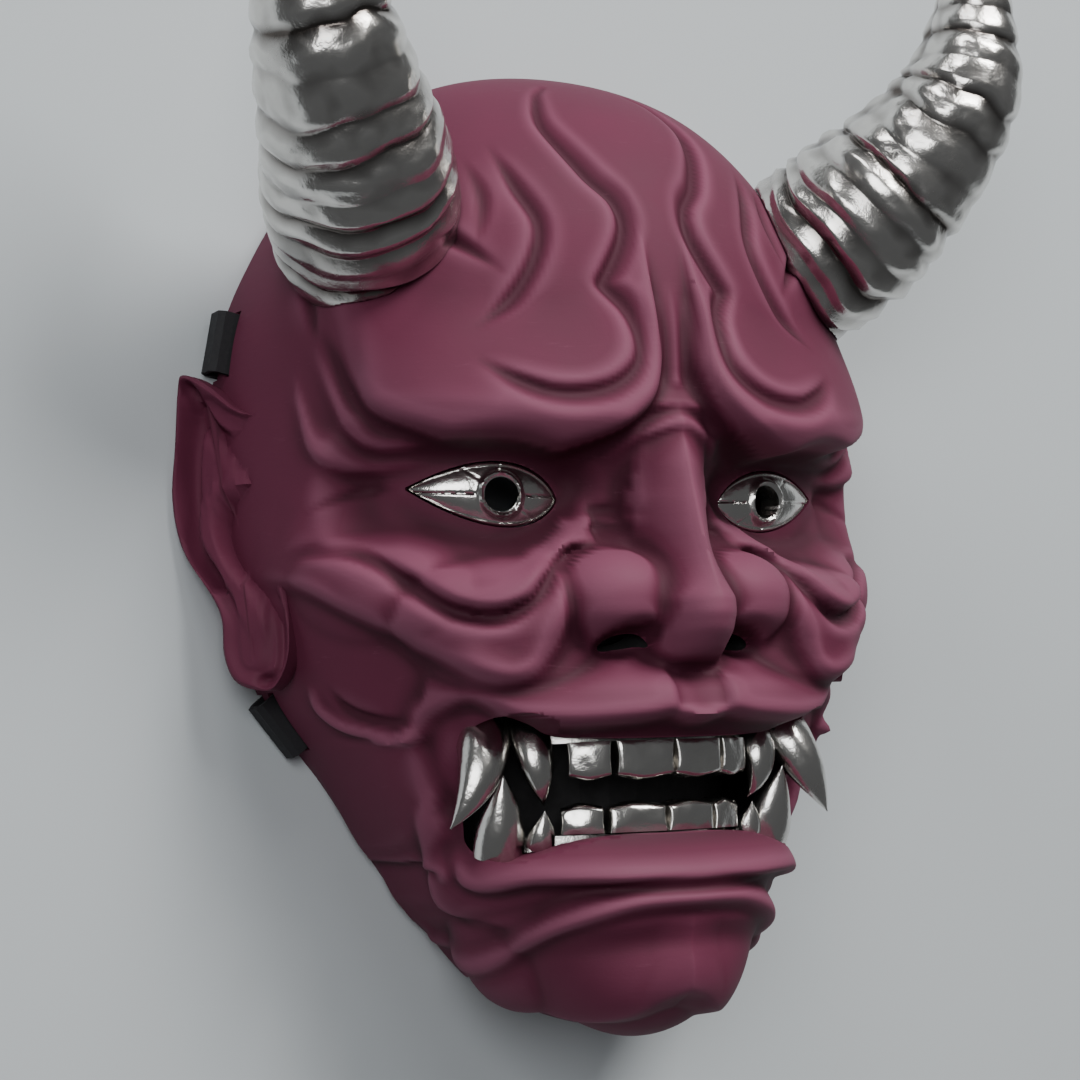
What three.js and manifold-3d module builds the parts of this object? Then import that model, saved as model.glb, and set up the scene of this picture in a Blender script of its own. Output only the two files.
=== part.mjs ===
// Oni mask with two ringed horns, lying face up on its back rim.
// Millimetres. X is the mask's own left, Y its crown, Z straight out of the face.
// The origin is the middle of the outline seen from the front, on the plane of the back rim.

import * as THREE from "three";
import Module from "manifold-3d";

const wasm = await Module();
wasm.setup();

// sizes

const gap = 0.3; // clearance between two pieces that touch
const wall = 4; // thickness of the cast shell
const rimDrop = 3; // how far the cutter of the hollow reaches below the rim plane

// Sections of the plain face form from the crown's rim to the chin's rim. Each one joins a point
// of the middle line (midY, midZ) to a point of the back rim (rimX, rimY) by a bowed arc, which is
// an ellipse at bow 2 and squarer above it.
const sections = [
  { midY: 116.5, midZ: 0, rimX: 0, rimY: 116.5, bow: 2 },
  { midY: 114, midZ: 19, rimX: 27, rimY: 111.5, bow: 2 },
  { midY: 105, midZ: 40, rimX: 48, rimY: 99.5, bow: 2 },
  { midY: 90, midZ: 56.5, rimX: 63, rimY: 83, bow: 2 },
  { midY: 70, midZ: 67, rimX: 74, rimY: 66, bow: 2 },
  { midY: 48, midZ: 71.5, rimX: 82, rimY: 48, bow: 2 },
  { midY: 25, midZ: 71, rimX: 85.5, rimY: 26, bow: 2 },
  { midY: 2, midZ: 68, rimX: 85.5, rimY: 3, bow: 2.05 },
  { midY: -20, midZ: 67, rimX: 82.5, rimY: -19, bow: 2.1 },
  { midY: -42, midZ: 67, rimX: 74, rimY: -41, bow: 2.15 },
  { midY: -62, midZ: 65, rimX: 59, rimY: -61, bow: 2.4 },
  { midY: -80, midZ: 62, rimX: 47, rimY: -79, bow: 2.8 },
  { midY: -95, midZ: 59, rimX: 35.5, rimY: -94, bow: 2.8 },
  { midY: -108, midZ: 54, rimX: 23, rimY: -105, bow: 2.5 },
  { midY: -117, midZ: 42, rimX: 13.5, rimY: -113, bow: 2.2 },
  { midY: -120.5, midZ: 22, rimX: 6, rimY: -117.5, bow: 2 },
  { midY: -118.5, midZ: 0, rimX: 0, rimY: -118.5, bow: 2 },
];
const lastSection = sections.length - 1;

// Carved edges and channels of one half of the face. Points are [x, y, height], seen from the
// front, and the other half is their mirror image. A shelf stands up to its height along its edge,
// falls away over the slope outside it and fades over the fade inside it.
const brow = {
  points: [
    [71.5, 47, 0], [68.5, 38, 2.2], [66.5, 29.5, 4], [63, 23, 7], [56, 19, 9.5], [46, 15.5, 12],
    [32, 14, 14], [23, 15.5, 13], [15, 19.5, 11.5], [9, 26, 9], [6, 33, 5.5], [5.5, 42, 2],
    [5.5, 48, 0],
  ],
  slope: 4, fade: 34,
};
const lowerBrow = {
  points: [
    [74, 40, 0], [71, 27, 1.5], [68, 18, 2.5], [64.5, 15, 3], [57, 14.5, 3], [46, 13, 2],
    [36, 11, 0],
  ],
  slope: 2, fade: 9,
};
const upperLid = {
  points: [
    [77, 30, 0], [76, 24, 1.2], [74.5, 15, 2.2], [71, 11, 2.6], [66, 10, 2.5], [60, 10, 2],
    [50, 11, 0.5],
  ],
  slope: 1.8, fade: 9,
};
const cheek = {
  points: [
    [82, -12, 0], [74.5, -15, 3], [65.5, -22, 4], [57, -28.5, 4], [47.5, -34, 4], [41, -37, 4],
    [36, -36.5, 4], [32, -31.5, 4], [30, -25, 4], [29, -18, 3], [25, -11, 0],
  ],
  slope: 4, fade: 16,
};
const underEye = {
  points: [
    [79, -7.5, 0], [75, -6, 1], [68, -7, 2], [62, -10, 3.5], [54, -16.5, 5], [48.5, -20.5, 5.5],
    [42.5, -22, 6], [37, -20, 6], [33.5, -15, 6], [28, -9.5, 6], [22.5, -8.5, 5], [18, -10, 3],
  ],
  slope: 3, fade: 15,
};
const upperLip = {
  points: [
    [55, -48.5, 2], [54, -45, 3], [50.5, -42.5, 4], [46, -41.5, 5], [42, -43, 5.5],
    [37.5, -45.5, 5.5], [30, -47.5, 5.5], [24, -48, 5.5], [14, -47, 5.5], [6.5, -45.5, 5.5],
    [0, -47.5, 5.5], [-6.5, -45.5, 5.5],
  ],
  slope: 4.6, fade: 13,
};
const lowerLip = {
  points: [
    [46, -70, 1.5], [44, -74, 3], [42, -78, 4.5], [39.5, -81.5, 5], [36, -82.5, 5], [31, -81, 5],
    [23, -81.5, 5], [15, -82, 5], [5, -82, 5], [-5, -82, 5],
  ],
  slope: 3.6, fade: 9,
};
const jawFold = {
  points: [[50, -65, 0], [48, -71, 2], [45, -78, 3], [40, -86, 3.5], [36, -89.5, 2.5], [28, -91, 0]],
  slope: 3, fade: 8,
};
const mouthCorner = {
  points: [[55.5, -50.5, 2.5], [51.5, -60, 3], [47, -71, 3], [43, -79, 2.5]],
  slope: 4, fade: 12,
};
const smileFold = {
  points: [[72, -37.5, 0], [69.5, -43, 1.8], [65, -47.5, 2.2], [60, -49.5, 2.4], [55, -50, 2.4]],
  width: 2.4,
};
const chinFold = {
  points: [[35, -99, 0.5], [30, -96.5, 2.5], [25, -91, 3], [16, -88, 3], [8, -87, 3], [-8, -87, 3]],
  width: 4,
};
const frown = { points: [[0, 52, 0], [0, 42, 1], [0, 29, 1.4]], width: 3 };

// A channel is a V cut along its valley line, whose third number is its share of the full depth.
const cheekChannel = {
  lines: [[
    [78, -8.5, 0], [71, -8.5, 0.4], [64, -11, 0.8], [55, -19, 1], [49, -23.5, 1], [43, -25, 1],
    [37.5, -24, 1], [33, -18, 0.7], [28, -11.5, 0],
  ]],
  left: 2.8, right: 3.6, depth: 3,
};
const foreheadChannel = {
  lines: [
    [
      [12, 106, 0.2], [17, 101.5, 0.5], [20.5, 92, 0.8], [15.5, 79, 1], [10, 71.5, 1],
      [10, 63.5, 1], [17, 51, 1],
    ],
    [
      [17, 51, 1], [12.5, 44, 1], [11, 36.5, 1], [13, 30.5, 1], [19.5, 25.5, 1], [29, 24.5, 1],
      [37, 27, 0.8], [46, 33, 0],
    ],
  ],
  left: 2.8, right: 4.6, depth: 3,
};
const templeChannel = {
  lines: [[
    [35, 87, 0], [32.5, 75, 0.9], [29.5, 65.5, 1], [32, 56.5, 1], [38, 47, 0.9], [46, 39, 0],
  ]],
  left: 2.2, right: 3.8, depth: 2.4,
};
const hornCrease = {
  lines: [[[52, 66, 1], [46.5, 61.5, 1], [37.5, 52.5, 0]]],
  left: 2.6, right: 2.6, depth: 2.6,
};
const smileChannel = {
  lines: [[[70, -38, 0], [66.5, -43.5, 1], [62, -46.5, 1], [56, -48, 0.3]]],
  left: 2, right: 2, depth: 1.6,
};

// nose: height and half width of the ridge at stations down the face
const noseStations = [24, 22.5, 16, 10, 1, -8, -16, -22, -26, -30, -34, -37.5, -40];
const noseHeights = [0, 3, 6.5, 9.5, 12.8, 16, 19.5, 22.3, 22.6, 20.8, 16, 8, 0];
const noseWidths = [5, 6.5, 9.8, 11, 11.3, 10.5, 11.3, 12.5, 12.4, 12, 11, 10.3, 10];
const wing = { x: 17.5, y: -20.5, halfWidth: 13.5, rise: 11.5, drop: 15, height: 14 };
const nostril = {
  x: 15, y: -31.5, z: 66, halfWidth: 5.5, halfHeight: 2.7, turn: -0.25, lean: 0.42,
  inwards: 18, outwards: 16,
};

const muzzle = { height: 8, halfWidth: 48, top: [-30, -42], bottom: [-98, -86] };
const socket = { line: [[24, 2.5, 1], [42, 3.5, 1], [61, 4.5, 1]], depth: 7, flat: 7, reach: 20 };
const tearPit = { x: 24, y: 4, halfWidth: 10, halfHeight: 9, height: -5, power: 2 };
const cheekBall = { x: 40, y: -26, halfWidth: 24, halfHeight: 15, height: 7.5, power: 0.8 };
const cheekBone = { x: 64, y: -17, halfWidth: 22, halfHeight: 13, height: 3, power: 1 };
const chinBall = { x: 0, y: -106, halfWidth: 36, halfHeight: 24, height: 9, power: 0.9 };
const chinLobe = { x: 14, y: -106, halfWidth: 16, halfHeight: 13, height: 2.6, power: 1 };
const philtrum = { halfWidth: 6.5, depth: 2, top: -36, bottom: -47 };

// mouth opening, seen from the front
const mouthOutline = [
  [0, -53], [17, -52.8], [28, -51.8], [33, -49], [39, -46.8], [45, -47.5], [48.5, -52],
  [47, -60], [44.8, -70], [43.6, -76], [41, -79], [37, -79.8], [32, -78.4], [22, -75.6],
  [12, -74.6], [0, -74.6],
];

// eye inserts: an almond of the face's own curve, with a raised ring round the sight hole
const eye = {
  inner: [27.3, 1.8], outer: [59.8, 5], halfHeight: 7.4, innerPower: 0.55, outerPower: 0.95,
  sunk: 8, dome: 2, thickness: 3.2, hole: [39.4, 3], holeRadius: 4, ringRadius: 5.2, ringRise: 0.9,
};

// horns: centre line points and radii from the head outwards
const hornLine = [
  [52, 62, 24], [60.5, 68.5, 36], [67.5, 74.5, 48], [72, 80, 56], [77.5, 87, 63],
  [84, 96.5, 70.5], [89, 107, 75.5], [92.5, 119, 78.5], [94, 131, 80], [94, 142, 80.5],
  [93.5, 150, 80],
];
const hornRadii = [22, 22.4, 22.2, 21, 18.8, 16.4, 13.8, 9.6, 6, 2.8, 0.6];
const hornRings = 11;
const ringRise = 0.055; // share of the radius by which each ring stands out
const hornSides = 14;

// teeth: rows lie on arcs z = front - sweep * x * x
const upperRow = { front: 64.6, sweep: 0.0125, root: -53.4, edge: -61.8 };
const lowerRow = { front: 60.3, sweep: 0.0125, root: -74.2, edge: -67.6 };
const incisorEdges = [-24.8, -14.3, 0, 14.3, 24.8];
const toothGap = 0.25;
const toothDepth = 6.5;
const fangFlatness = 0.85; // depth of a fang as a share of its width
const rowBar = { back: 11, front: 4.8 };
const upperBar = { reach: 39, low: -59, high: -48.5 };
const lowerBar = { reach: 36, low: -78, high: -70 };
const upperFangs = [
  { from: [39.2, -47.8, 41.5], bend: [41.5, -60, 54], to: [51.6, -71.7, 52.1], radius: 6.4 },
  { from: [29.6, -51, 47.5], bend: [31.8, -60, 57], to: [27.9, -67.4, 52.7], radius: 4.9 },
];
const lowerFangs = [
  { from: [36.6, -76.6, 43.5], bend: [36.8, -70.5, 46.5], to: [38.3, -60.3, 53.1], radius: 6.2 },
  { from: [28.2, -75.8, 47.5], bend: [28.3, -73.4, 49.5], to: [28.4, -69.2, 53], radius: 3.3 },
];
const backing = { halfWidth: 45, top: -43.5, bottom: -81, narrowing: 0.85, behind: 14.5, thickness: 2 };

// ears, cast in one with the shell: outline in the ear's own plane, [backwards, up]
const earOutline = [
  [-2, 22], [2, 24.5], [8, 27.5], [15.5, 33.5], [22, 36.5], [23.5, 33], [24.6, 20], [25.7, 7],
  [23, -5], [15.5, -16], [12.8, -22], [12.4, -30], [9.8, -36], [4.3, -38.5], [-1, -38], [-5, -30],
  [-4.5, -16], [-2, -8], [-1, 6],
];
const earBowl = [
  [5, 20], [13, 26.5], [19.5, 31], [20.6, 18], [21.2, 7], [19, -3], [11.5, -14], [8.5, -21],
  [3, -13], [1.5, -4], [1, 8],
];
const ear = {
  front: [81.5, 22], back: [96, 1.5], thickness: 7, bevel: 1, bowlDepth: 2.6,
  spread: { right: 1, left: 0.955 },
};

// straps: flat elastic, looped round the bar between a slot and a notch in the rim
const strap = { width: 15, thickness: 1.2, floor: 0.35, outside: 3.2 };
const slot = { width: 16.5, bottom: 5.6, top: 8.4, notch: 2.4, reach: 9 };
const upperSlot = { at: [82.9, 44], inward: [-0.98, -0.2], middle: 30 };
const lowerSlot = { at: [70.6, -46], inward: [-0.78, 0.62], middle: -8 };

// mesh steps
const rowsPerSection = [2, 2, 3, 3, 4, 5, 5, 5, 5, 6, 5, 4, 4, 3, 2, 2];
const halfColumns = 15;
const hollowRows = 18;
const hollowHalfColumns = 7;

// small helpers

function clamp(value, low, high) {
  return Math.min(high, Math.max(low, value));
}

function smooth(from, to, value) {
  const t = clamp((value - from) / (to - from), 0, 1);
  return t * t * (3 - 2 * t);
}

function smoothMax(a, b, blend) {
  const t = clamp(0.5 + (0.5 * (a - b)) / blend, 0, 1);
  return b * (1 - t) + a * t + blend * t * (1 - t);
}

function lookUp(at, stations, values) {
  if (at >= stations[0]) return values[0];
  for (let i = 1; i < stations.length; i += 1) {
    if (at >= stations[i]) {
      const t = (stations[i - 1] - at) / (stations[i - 1] - stations[i]);
      return values[i - 1] + t * (values[i] - values[i - 1]);
    }
  }
  return values[values.length - 1];
}

// smooth curve through rows of numbers; at runs from 0 to the last row
function splineAt(rows, at) {
  const last = rows.length - 1;
  const i = clamp(Math.floor(at), 0, last - 1);
  const t = at - i;
  const before = (k) => (i > 0 ? rows[i - 1][k] : 2 * rows[0][k] - rows[1][k]);
  const after = (k) => (i + 2 <= last ? rows[i + 2][k] : 2 * rows[last][k] - rows[last - 1][k]);
  return rows[i].map((start, k) => {
    const [a, b, c, d] = [before(k), start, rows[i + 1][k], after(k)];
    return 0.5 * (2 * b + (c - a) * t + (2 * a - 5 * b + 4 * c - d) * t * t
      + (3 * b - a - 3 * c + d) * t * t * t);
  });
}

// one closed solid from points and faces; faces of no area at poles are dropped
function solid(points, faces) {
  const ids = new Map();
  const vertices = [];
  const welded = points.map((p) => {
    const key = p.map((n) => Math.round(n * 1000)).join();
    if (!ids.has(key)) {
      ids.set(key, vertices.length / 3);
      vertices.push(...p);
    }
    return ids.get(key);
  });
  const triangles = [];
  for (const face of faces) {
    for (let k = 1; k + 1 < face.length; k += 1) {
      const [a, b, c] = [face[0], face[k], face[k + 1]].map((id) => welded[id]);
      if (a !== b && b !== c && a !== c) triangles.push(a, b, c);
    }
  }
  const corner = (id) => new THREE.Vector3(...vertices.slice(id * 3, id * 3 + 3));
  let volume = 0;
  for (let k = 0; k < triangles.length; k += 3) {
    const [a, b, c] = [0, 1, 2].map((n) => corner(triangles[k + n]));
    volume += a.dot(b.cross(c));
  }
  if (volume < 0) triangles.reverse();
  return new wasm.Manifold(new wasm.Mesh({
    numProp: 3,
    vertProperties: new Float32Array(vertices),
    triVerts: new Uint32Array(triangles),
  }));
}

// solid of a three.js geometry, placed by a matrix
function solidOf(geometry, matrix) {
  const placed = matrix ? geometry.clone().applyMatrix4(matrix) : geometry;
  const position = placed.getAttribute("position");
  const points = [];
  for (let k = 0; k < position.count; k += 1) {
    points.push([position.getX(k), position.getY(k), position.getZ(k)]);
  }
  const index = placed.index ? Array.from(placed.index.array) : points.map((_, k) => k);
  const faces = [];
  for (let k = 0; k < index.length; k += 3) faces.push(index.slice(k, k + 3));
  return solid(points, faces);
}

function shapeOf(outline) {
  return new THREE.Shape(outline.map(([x, y]) => new THREE.Vector2(x, y)));
}

// straight prism of an outline between two heights
function prism(outline, bottom, top) {
  const settings = { depth: top - bottom, bevelEnabled: false };
  const geometry = new THREE.ExtrudeGeometry(shapeOf(outline), settings);
  return solidOf(geometry, new THREE.Matrix4().makeTranslation(0, 0, bottom));
}

// solid skinned over rings of equal point count, closed at both ends
function skin(rings) {
  const count = rings[0].length;
  const points = rings.flat();
  const faces = [];
  for (let i = 0; i + 1 < rings.length; i += 1) {
    for (let j = 0; j < count; j += 1) {
      const k = (j + 1) % count;
      faces.push([i * count + j, i * count + k, (i + 1) * count + k, (i + 1) * count + j]);
    }
  }
  const lastRing = (rings.length - 1) * count;
  faces.push(rings[0].map((_, j) => count - 1 - j));
  faces.push(rings[0].map((_, j) => lastRing + j));
  return solid(points, faces);
}

function mirrored(item) {
  return item.mirror([1, 0, 0]);
}

// the plain face form

const sectionRows = sections.map((s) => [s.midY, s.midZ, s.rimX, s.rimY, s.bow]);

function arcShares(bow, turn) {
  const across = Math.sin(turn);
  const up = Math.max(Math.cos(turn), 0);
  const reach = (Math.abs(across) ** bow + up ** bow) ** (-1 / bow);
  return [across * reach, up * reach];
}

// point of the plain form: along runs down the middle line, turn from -90 to 90 degrees across it
function plainPoint(along, turn) {
  const [midY, midZ, rimX, rimY, bow] = splineAt(sectionRows, clamp(along, 0, lastSection - 1e-9));
  const [across, up] = arcShares(bow, turn);
  return new THREE.Vector3(rimX * across, rimY + (midY - rimY) * up, midZ * up);
}

function plainNormal(along, turn) {
  const s = clamp(along, 0.03, lastSection - 0.03);
  const t = clamp(turn, -Math.PI / 2 + 0.01, Math.PI / 2 - 0.01);
  const down = plainPoint(s + 0.02, t).sub(plainPoint(s - 0.02, t));
  const across = plainPoint(s, t + 0.01).sub(plainPoint(s, t - 0.01));
  return down.cross(across).normalize();
}

// where a point seen from the front lies on the plain form
function placeOnForm(x, y) {
  const width = Math.abs(x);
  const steps = 800;
  let previous = null;
  let found = null;
  for (let k = 1; k < steps && !found; k += 1) {
    const along = (k * lastSection) / steps;
    const [midY, , rimX, rimY, bow] = splineAt(sectionRows, along);
    if (width <= rimX) {
      const up = (1 - (width / rimX) ** bow) ** (1 / bow);
      const miss = rimY + (midY - rimY) * up - y;
      if (previous && previous.miss >= 0 && miss <= 0) {
        const t = previous.miss / (previous.miss - miss || 1);
        found = { along: previous.along + t * (along - previous.along), up, share: width / rimX };
      }
      previous = { along, miss };
    } else {
      previous = null;
    }
  }
  if (!found) return { along: 8, turn: (Math.PI / 2) * Math.sign(x) };
  return { along: found.along, turn: Math.atan2(found.share, found.up) * (x < 0 ? -1 : 1) };
}

function pointOnForm(x, y) {
  const { along, turn } = placeOnForm(x, y);
  return plainPoint(along, turn);
}

// point of the form raised by a height along its normal
function raisedPoint(x, y, height) {
  const { along, turn } = placeOnForm(x, y);
  return plainPoint(along, turn).addScaledVector(plainNormal(along, turn), height);
}

// carving

const stepsPerSpan = 6;

function traced(points) {
  const count = (points.length - 1) * stepsPerSpan;
  const last = points.length - 1 - 1e-9;
  return Array.from({ length: count + 1 }, (_, k) => {
    const [x, y, height] = splineAt(points, Math.min(k / stepsPerSpan, last));
    return { x, y, height, spot: pointOnForm(x, y) };
  });
}

// nearest place on a traced line: distance, side (+1 to the left of travel) and height there
function nearest(line, spot, normal) {
  let best = { distance: Infinity, side: 1, height: 0 };
  for (let k = 0; k + 1 < line.length; k += 1) {
    const a = line[k];
    const step = line[k + 1].spot.clone().sub(a.spot);
    const offset = spot.clone().sub(a.spot);
    const t = clamp(offset.dot(step) / (step.lengthSq() + 1e-9), 0, 1);
    offset.addScaledVector(step, -t);
    const distance = offset.length();
    if (distance < best.distance) {
      const side = step.clone().cross(offset).dot(normal) < 0 ? -1 : 1;
      best = { distance, side, height: a.height + t * (line[k + 1].height - a.height) };
    }
  }
  return best;
}

// edge of a shelf as a function: across is the coordinate it runs along
function edgeTable(line, across) {
  const other = across === "x" ? "y" : "x";
  return line.map((p) => [p[across], p[other], p.height]).sort((a, b) => a[0] - b[0]);
}

function edgeAt(table, at) {
  if (at < table[0][0] || at > table[table.length - 1][0]) return null;
  let k = 1;
  while (k < table.length - 1 && table[k][0] < at) k += 1;
  const [a, b] = [table[k - 1], table[k]];
  const t = (at - a[0]) / (b[0] - a[0] || 1);
  return [a[1] + t * (b[1] - a[1]), a[2] + t * (b[2] - a[2])];
}

function shelf(settings, across = "x", fadePower = 1) {
  const line = traced(settings.points);
  const table = edgeTable(line, across);
  return (spot, normal) => {
    const flat = { x: Math.abs(spot.x), y: spot.y };
    const edge = edgeAt(table, flat[across]);
    const inside = edge ? flat[across === "x" ? "y" : "x"] - edge[0] : -1;
    if (inside >= 0) {
      const t = clamp(1 - inside / settings.fade, 0, 1);
      return edge[1] * (t * t * (3 - 2 * t)) ** fadePower;
    }
    const { distance, height } = nearest(line, new THREE.Vector3(flat.x, spot.y, spot.z), normal);
    return height * clamp(1 - distance / settings.slope, 0, 1);
  };
}

function channel(settings) {
  const lines = settings.lines.map(traced);
  return (spot, normal) => {
    const half = new THREE.Vector3(Math.abs(spot.x), spot.y, spot.z);
    const facing = new THREE.Vector3(Math.abs(normal.x), normal.y, normal.z);
    const hits = lines.map((line) => nearest(line, half, facing));
    const best = hits.reduce((a, b) => (b.distance < a.distance ? b : a));
    const width = (best.side > 0 ? settings.left : settings.right) * Math.max(best.height, 0.3);
    return -settings.depth * best.height * clamp(1 - best.distance / width, 0, 1);
  };
}

function ridge(settings) {
  const line = traced(settings.points);
  return (spot, normal) => {
    const half = new THREE.Vector3(Math.abs(spot.x), spot.y, spot.z);
    const { distance, height } = nearest(line, half, normal);
    return height * smooth(settings.width, 0, distance);
  };
}

function bump(settings) {
  const { along, turn } = placeOnForm(settings.x, settings.y);
  const centre = plainPoint(along, turn);
  const out = plainNormal(along, turn);
  const side = new THREE.Vector3(out.z, 0, -out.x).normalize();
  const up = out.clone().cross(side);
  return (spot) => {
    const offset = new THREE.Vector3(Math.abs(spot.x), spot.y, spot.z).sub(centre);
    const a = offset.dot(side) / settings.halfWidth;
    const b = offset.dot(up) / settings.halfHeight;
    return settings.height * Math.max(1 - a * a - b * b, 0) ** settings.power;
  };
}

const muzzleRelief = (spot) => muzzle.height * smooth(...muzzle.top, spot.y)
  * smooth(...muzzle.bottom, spot.y) * Math.max(1 - (spot.x / muzzle.halfWidth) ** 2, 0);

function socketRelief() {
  const line = traced(socket.line);
  return (spot, normal) => {
    const half = new THREE.Vector3(Math.abs(spot.x), spot.y, spot.z);
    return -socket.depth * (1 - smooth(socket.flat, socket.reach, nearest(line, half, normal).distance));
  };
}

function noseRelief(spot) {
  const x = Math.abs(spot.x);
  const height = lookUp(spot.y, noseStations, noseHeights);
  const across = clamp(x / lookUp(spot.y, noseStations, noseWidths), 0, 1);
  const tip = smooth(-10, -24, spot.y);
  const wedge = (1 - across) * 0.6 + (1 - across * across) * 0.4;
  const ridgeHeight = height * (wedge * (1 - tip) + Math.sqrt(1 - across * across) * tip);
  const rise = spot.y > wing.y ? wing.rise : wing.drop;
  const inside = 1 - ((x - wing.x) / wing.halfWidth) ** 2 - ((spot.y - wing.y) / rise) ** 2;
  const wingHeight = wing.height * Math.sqrt(Math.max(inside, 0)) * (1 - 0.5 * smooth(-24, -34, spot.y));
  return smoothMax(ridgeHeight, wingHeight, 5) - 1.2;
}

const mouthSinkRelief = (spot) => -5 * smooth(-46, -53, spot.y) * smooth(-82, -74, spot.y)
  * smooth(50, 42, Math.abs(spot.x));

const philtrumRelief = (spot) => -philtrum.depth
  * smooth(philtrum.halfWidth + 1, philtrum.halfWidth - 1, Math.abs(spot.x))
  * smooth(philtrum.bottom, philtrum.bottom + 1.5, spot.y)
  * smooth(philtrum.top, philtrum.top - 3, spot.y);

const underChinRelief = (spot) => -3 * smooth(-82, -86, spot.y) * smooth(-93, -88, spot.y)
  * smooth(42, 28, Math.abs(spot.x));

const beforeNose = [
  muzzleRelief, socketRelief(), bump(tearPit), bump(cheekBall), bump(cheekBone), shelf(brow),
  shelf(lowerBrow), shelf(upperLid), shelf(cheek), shelf(underEye),
];
const afterNose = [
  shelf(upperLip), mouthSinkRelief, shelf(lowerLip, "x", 0.6), shelf(jawFold),
  shelf(mouthCorner, "y"), ridge(smileFold), philtrumRelief, underChinRelief, ridge(chinFold),
  bump(chinBall), bump(chinLobe), ridge(frown),
];
const channels = [
  channel(cheekChannel), channel(smileChannel), channel(foreheadChannel), channel(templeChannel),
  channel(hornCrease),
];

function reliefAt(spot, normal) {
  let height = beforeNose.reduce((sum, carve) => sum + carve(spot, normal), 0);
  const nose = noseRelief(spot);
  if (nose > 0) height = smoothMax(height, nose, 2.5);
  return afterNose.reduce((sum, carve) => sum + carve(spot, normal), height);
}

// depth of the narrow channels, averaged over the mesh cell round a point
function channelDepth(along, turn) {
  const offsets = [[0, 0], [0.08, 0.035], [0.08, -0.035], [-0.08, 0.035], [-0.08, -0.035]];
  const depths = offsets.map(([down, side]) => {
    const spot = plainPoint(along + down, turn + side);
    const normal = plainNormal(along + down, turn + side);
    return channels.reduce((sum, carve) => sum + carve(spot, normal), 0);
  });
  return depths.reduce((sum, depth) => sum + depth, 0) / offsets.length;
}

// face shell

function alongSteps(perSection) {
  const steps = [];
  perSection.forEach((count, i) => {
    for (let k = 0; k < count; k += 1) steps.push(i + k / count);
  });
  return [...steps, lastSection];
}

function turnSteps(half) {
  const steps = [];
  for (let k = -half; k <= half; k += 1) {
    steps.push((Math.PI / 2) * Math.sign(k) * (Math.abs(k) / half) ** 1.12);
  }
  return steps;
}

// closed dome over the rim plane, from a function that places each grid point
function dome(alongs, turns, place, floor) {
  const points = [];
  for (const along of alongs) {
    for (const turn of turns) points.push(place(along, turn).toArray());
  }
  const columns = turns.length;
  const rows = alongs.length;
  const faces = [];
  for (let i = 0; i + 1 < rows; i += 1) {
    for (let j = 0; j + 1 < columns; j += 1) {
      const k = i * columns + j;
      const onRight = j < (columns - 1) / 2;
      if (onRight) faces.push([k + 1, k, k + columns, k + columns + 1]);
      else faces.push([k, k + columns, k + columns + 1, k + 1]);
    }
  }
  const left = alongs.map((_, i) => i * columns);
  const right = alongs.map((_, i) => i * columns + columns - 1);
  const lower = (id) => {
    const [x, y] = points[id];
    points.push([x, y, floor]);
    return points.length - 1;
  };
  const leftFloor = left.map(lower);
  const rightFloor = right.map(lower);
  for (let i = 0; i + 1 < rows; i += 1) {
    faces.push([left[i], leftFloor[i], leftFloor[i + 1], left[i + 1]]);
    faces.push([right[i], right[i + 1], rightFloor[i + 1], rightFloor[i]]);
    faces.push([leftFloor[i], rightFloor[i], rightFloor[i + 1], leftFloor[i + 1]]);
  }
  const top = turns.map((_, j) => j);
  const bottom = turns.map((_, j) => rows * columns - 1 - j);
  faces.push([leftFloor[0], ...top, rightFloor[0]]);
  faces.push([rightFloor[rows - 1], ...bottom, leftFloor[rows - 1]]);
  return solid(points, faces);
}

const onRim = (turn) => Math.abs(Math.abs(turn) - Math.PI / 2) < 1e-9;

function outerPoint(along, turn, extra) {
  const spot = plainPoint(along, turn);
  if (along === 0 || along === lastSection) return spot;
  const normal = plainNormal(along, turn);
  const height = reliefAt(spot, normal) + channelDepth(along, turn);
  const point = spot.clone().addScaledVector(normal, height * smooth(0, 4, spot.z) + extra);
  if (onRim(turn)) point.z = 0;
  point.z = Math.max(point.z, 0);
  return point;
}

const deepRelief = [socketRelief(), bump(tearPit)];

function innerPoint(along, turn) {
  const spot = plainPoint(along, turn);
  const normal = plainNormal(along, turn);
  const sunk = deepRelief.reduce((sum, carve) => sum + carve(spot, normal), 0);
  const point = spot.clone().addScaledVector(normal, -wall + sunk * 0.8);
  if (onRim(turn)) point.z = 0;
  return point;
}

const alongs = alongSteps(rowsPerSection);
const turns = turnSteps(halfColumns);

function outerDome(extra) {
  return dome(alongs, turns, (along, turn) => outerPoint(along, turn, extra), 0);
}

function hollow() {
  const margin = 0.32; // keeps the hollow's poles a wall away from the crown's and chin's rim
  const step = (lastSection - 2 * margin) / hollowRows;
  const rows = Array.from({ length: hollowRows + 1 }, (_, k) => margin + k * step);
  return dome(rows, turnSteps(hollowHalfColumns), innerPoint, -rimDrop);
}

// almond of the eye seen from the front: u runs from the inner corner to the outer one
function almondHalfHeight(u) {
  const peak = eye.innerPower / (eye.innerPower + eye.outerPower);
  const shape = (t) => t ** eye.innerPower * (1 - t) ** eye.outerPower;
  return (eye.halfHeight * shape(u)) / shape(peak);
}

function almondPoint(u, v, height, margin) {
  const x = eye.inner[0] - margin + u * (eye.outer[0] - eye.inner[0] + 2 * margin);
  const middle = eye.inner[1] + u * (eye.outer[1] - eye.inner[1]);
  return raisedPoint(x, middle + v * (almondHalfHeight(u) + margin), height).toArray();
}

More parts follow.
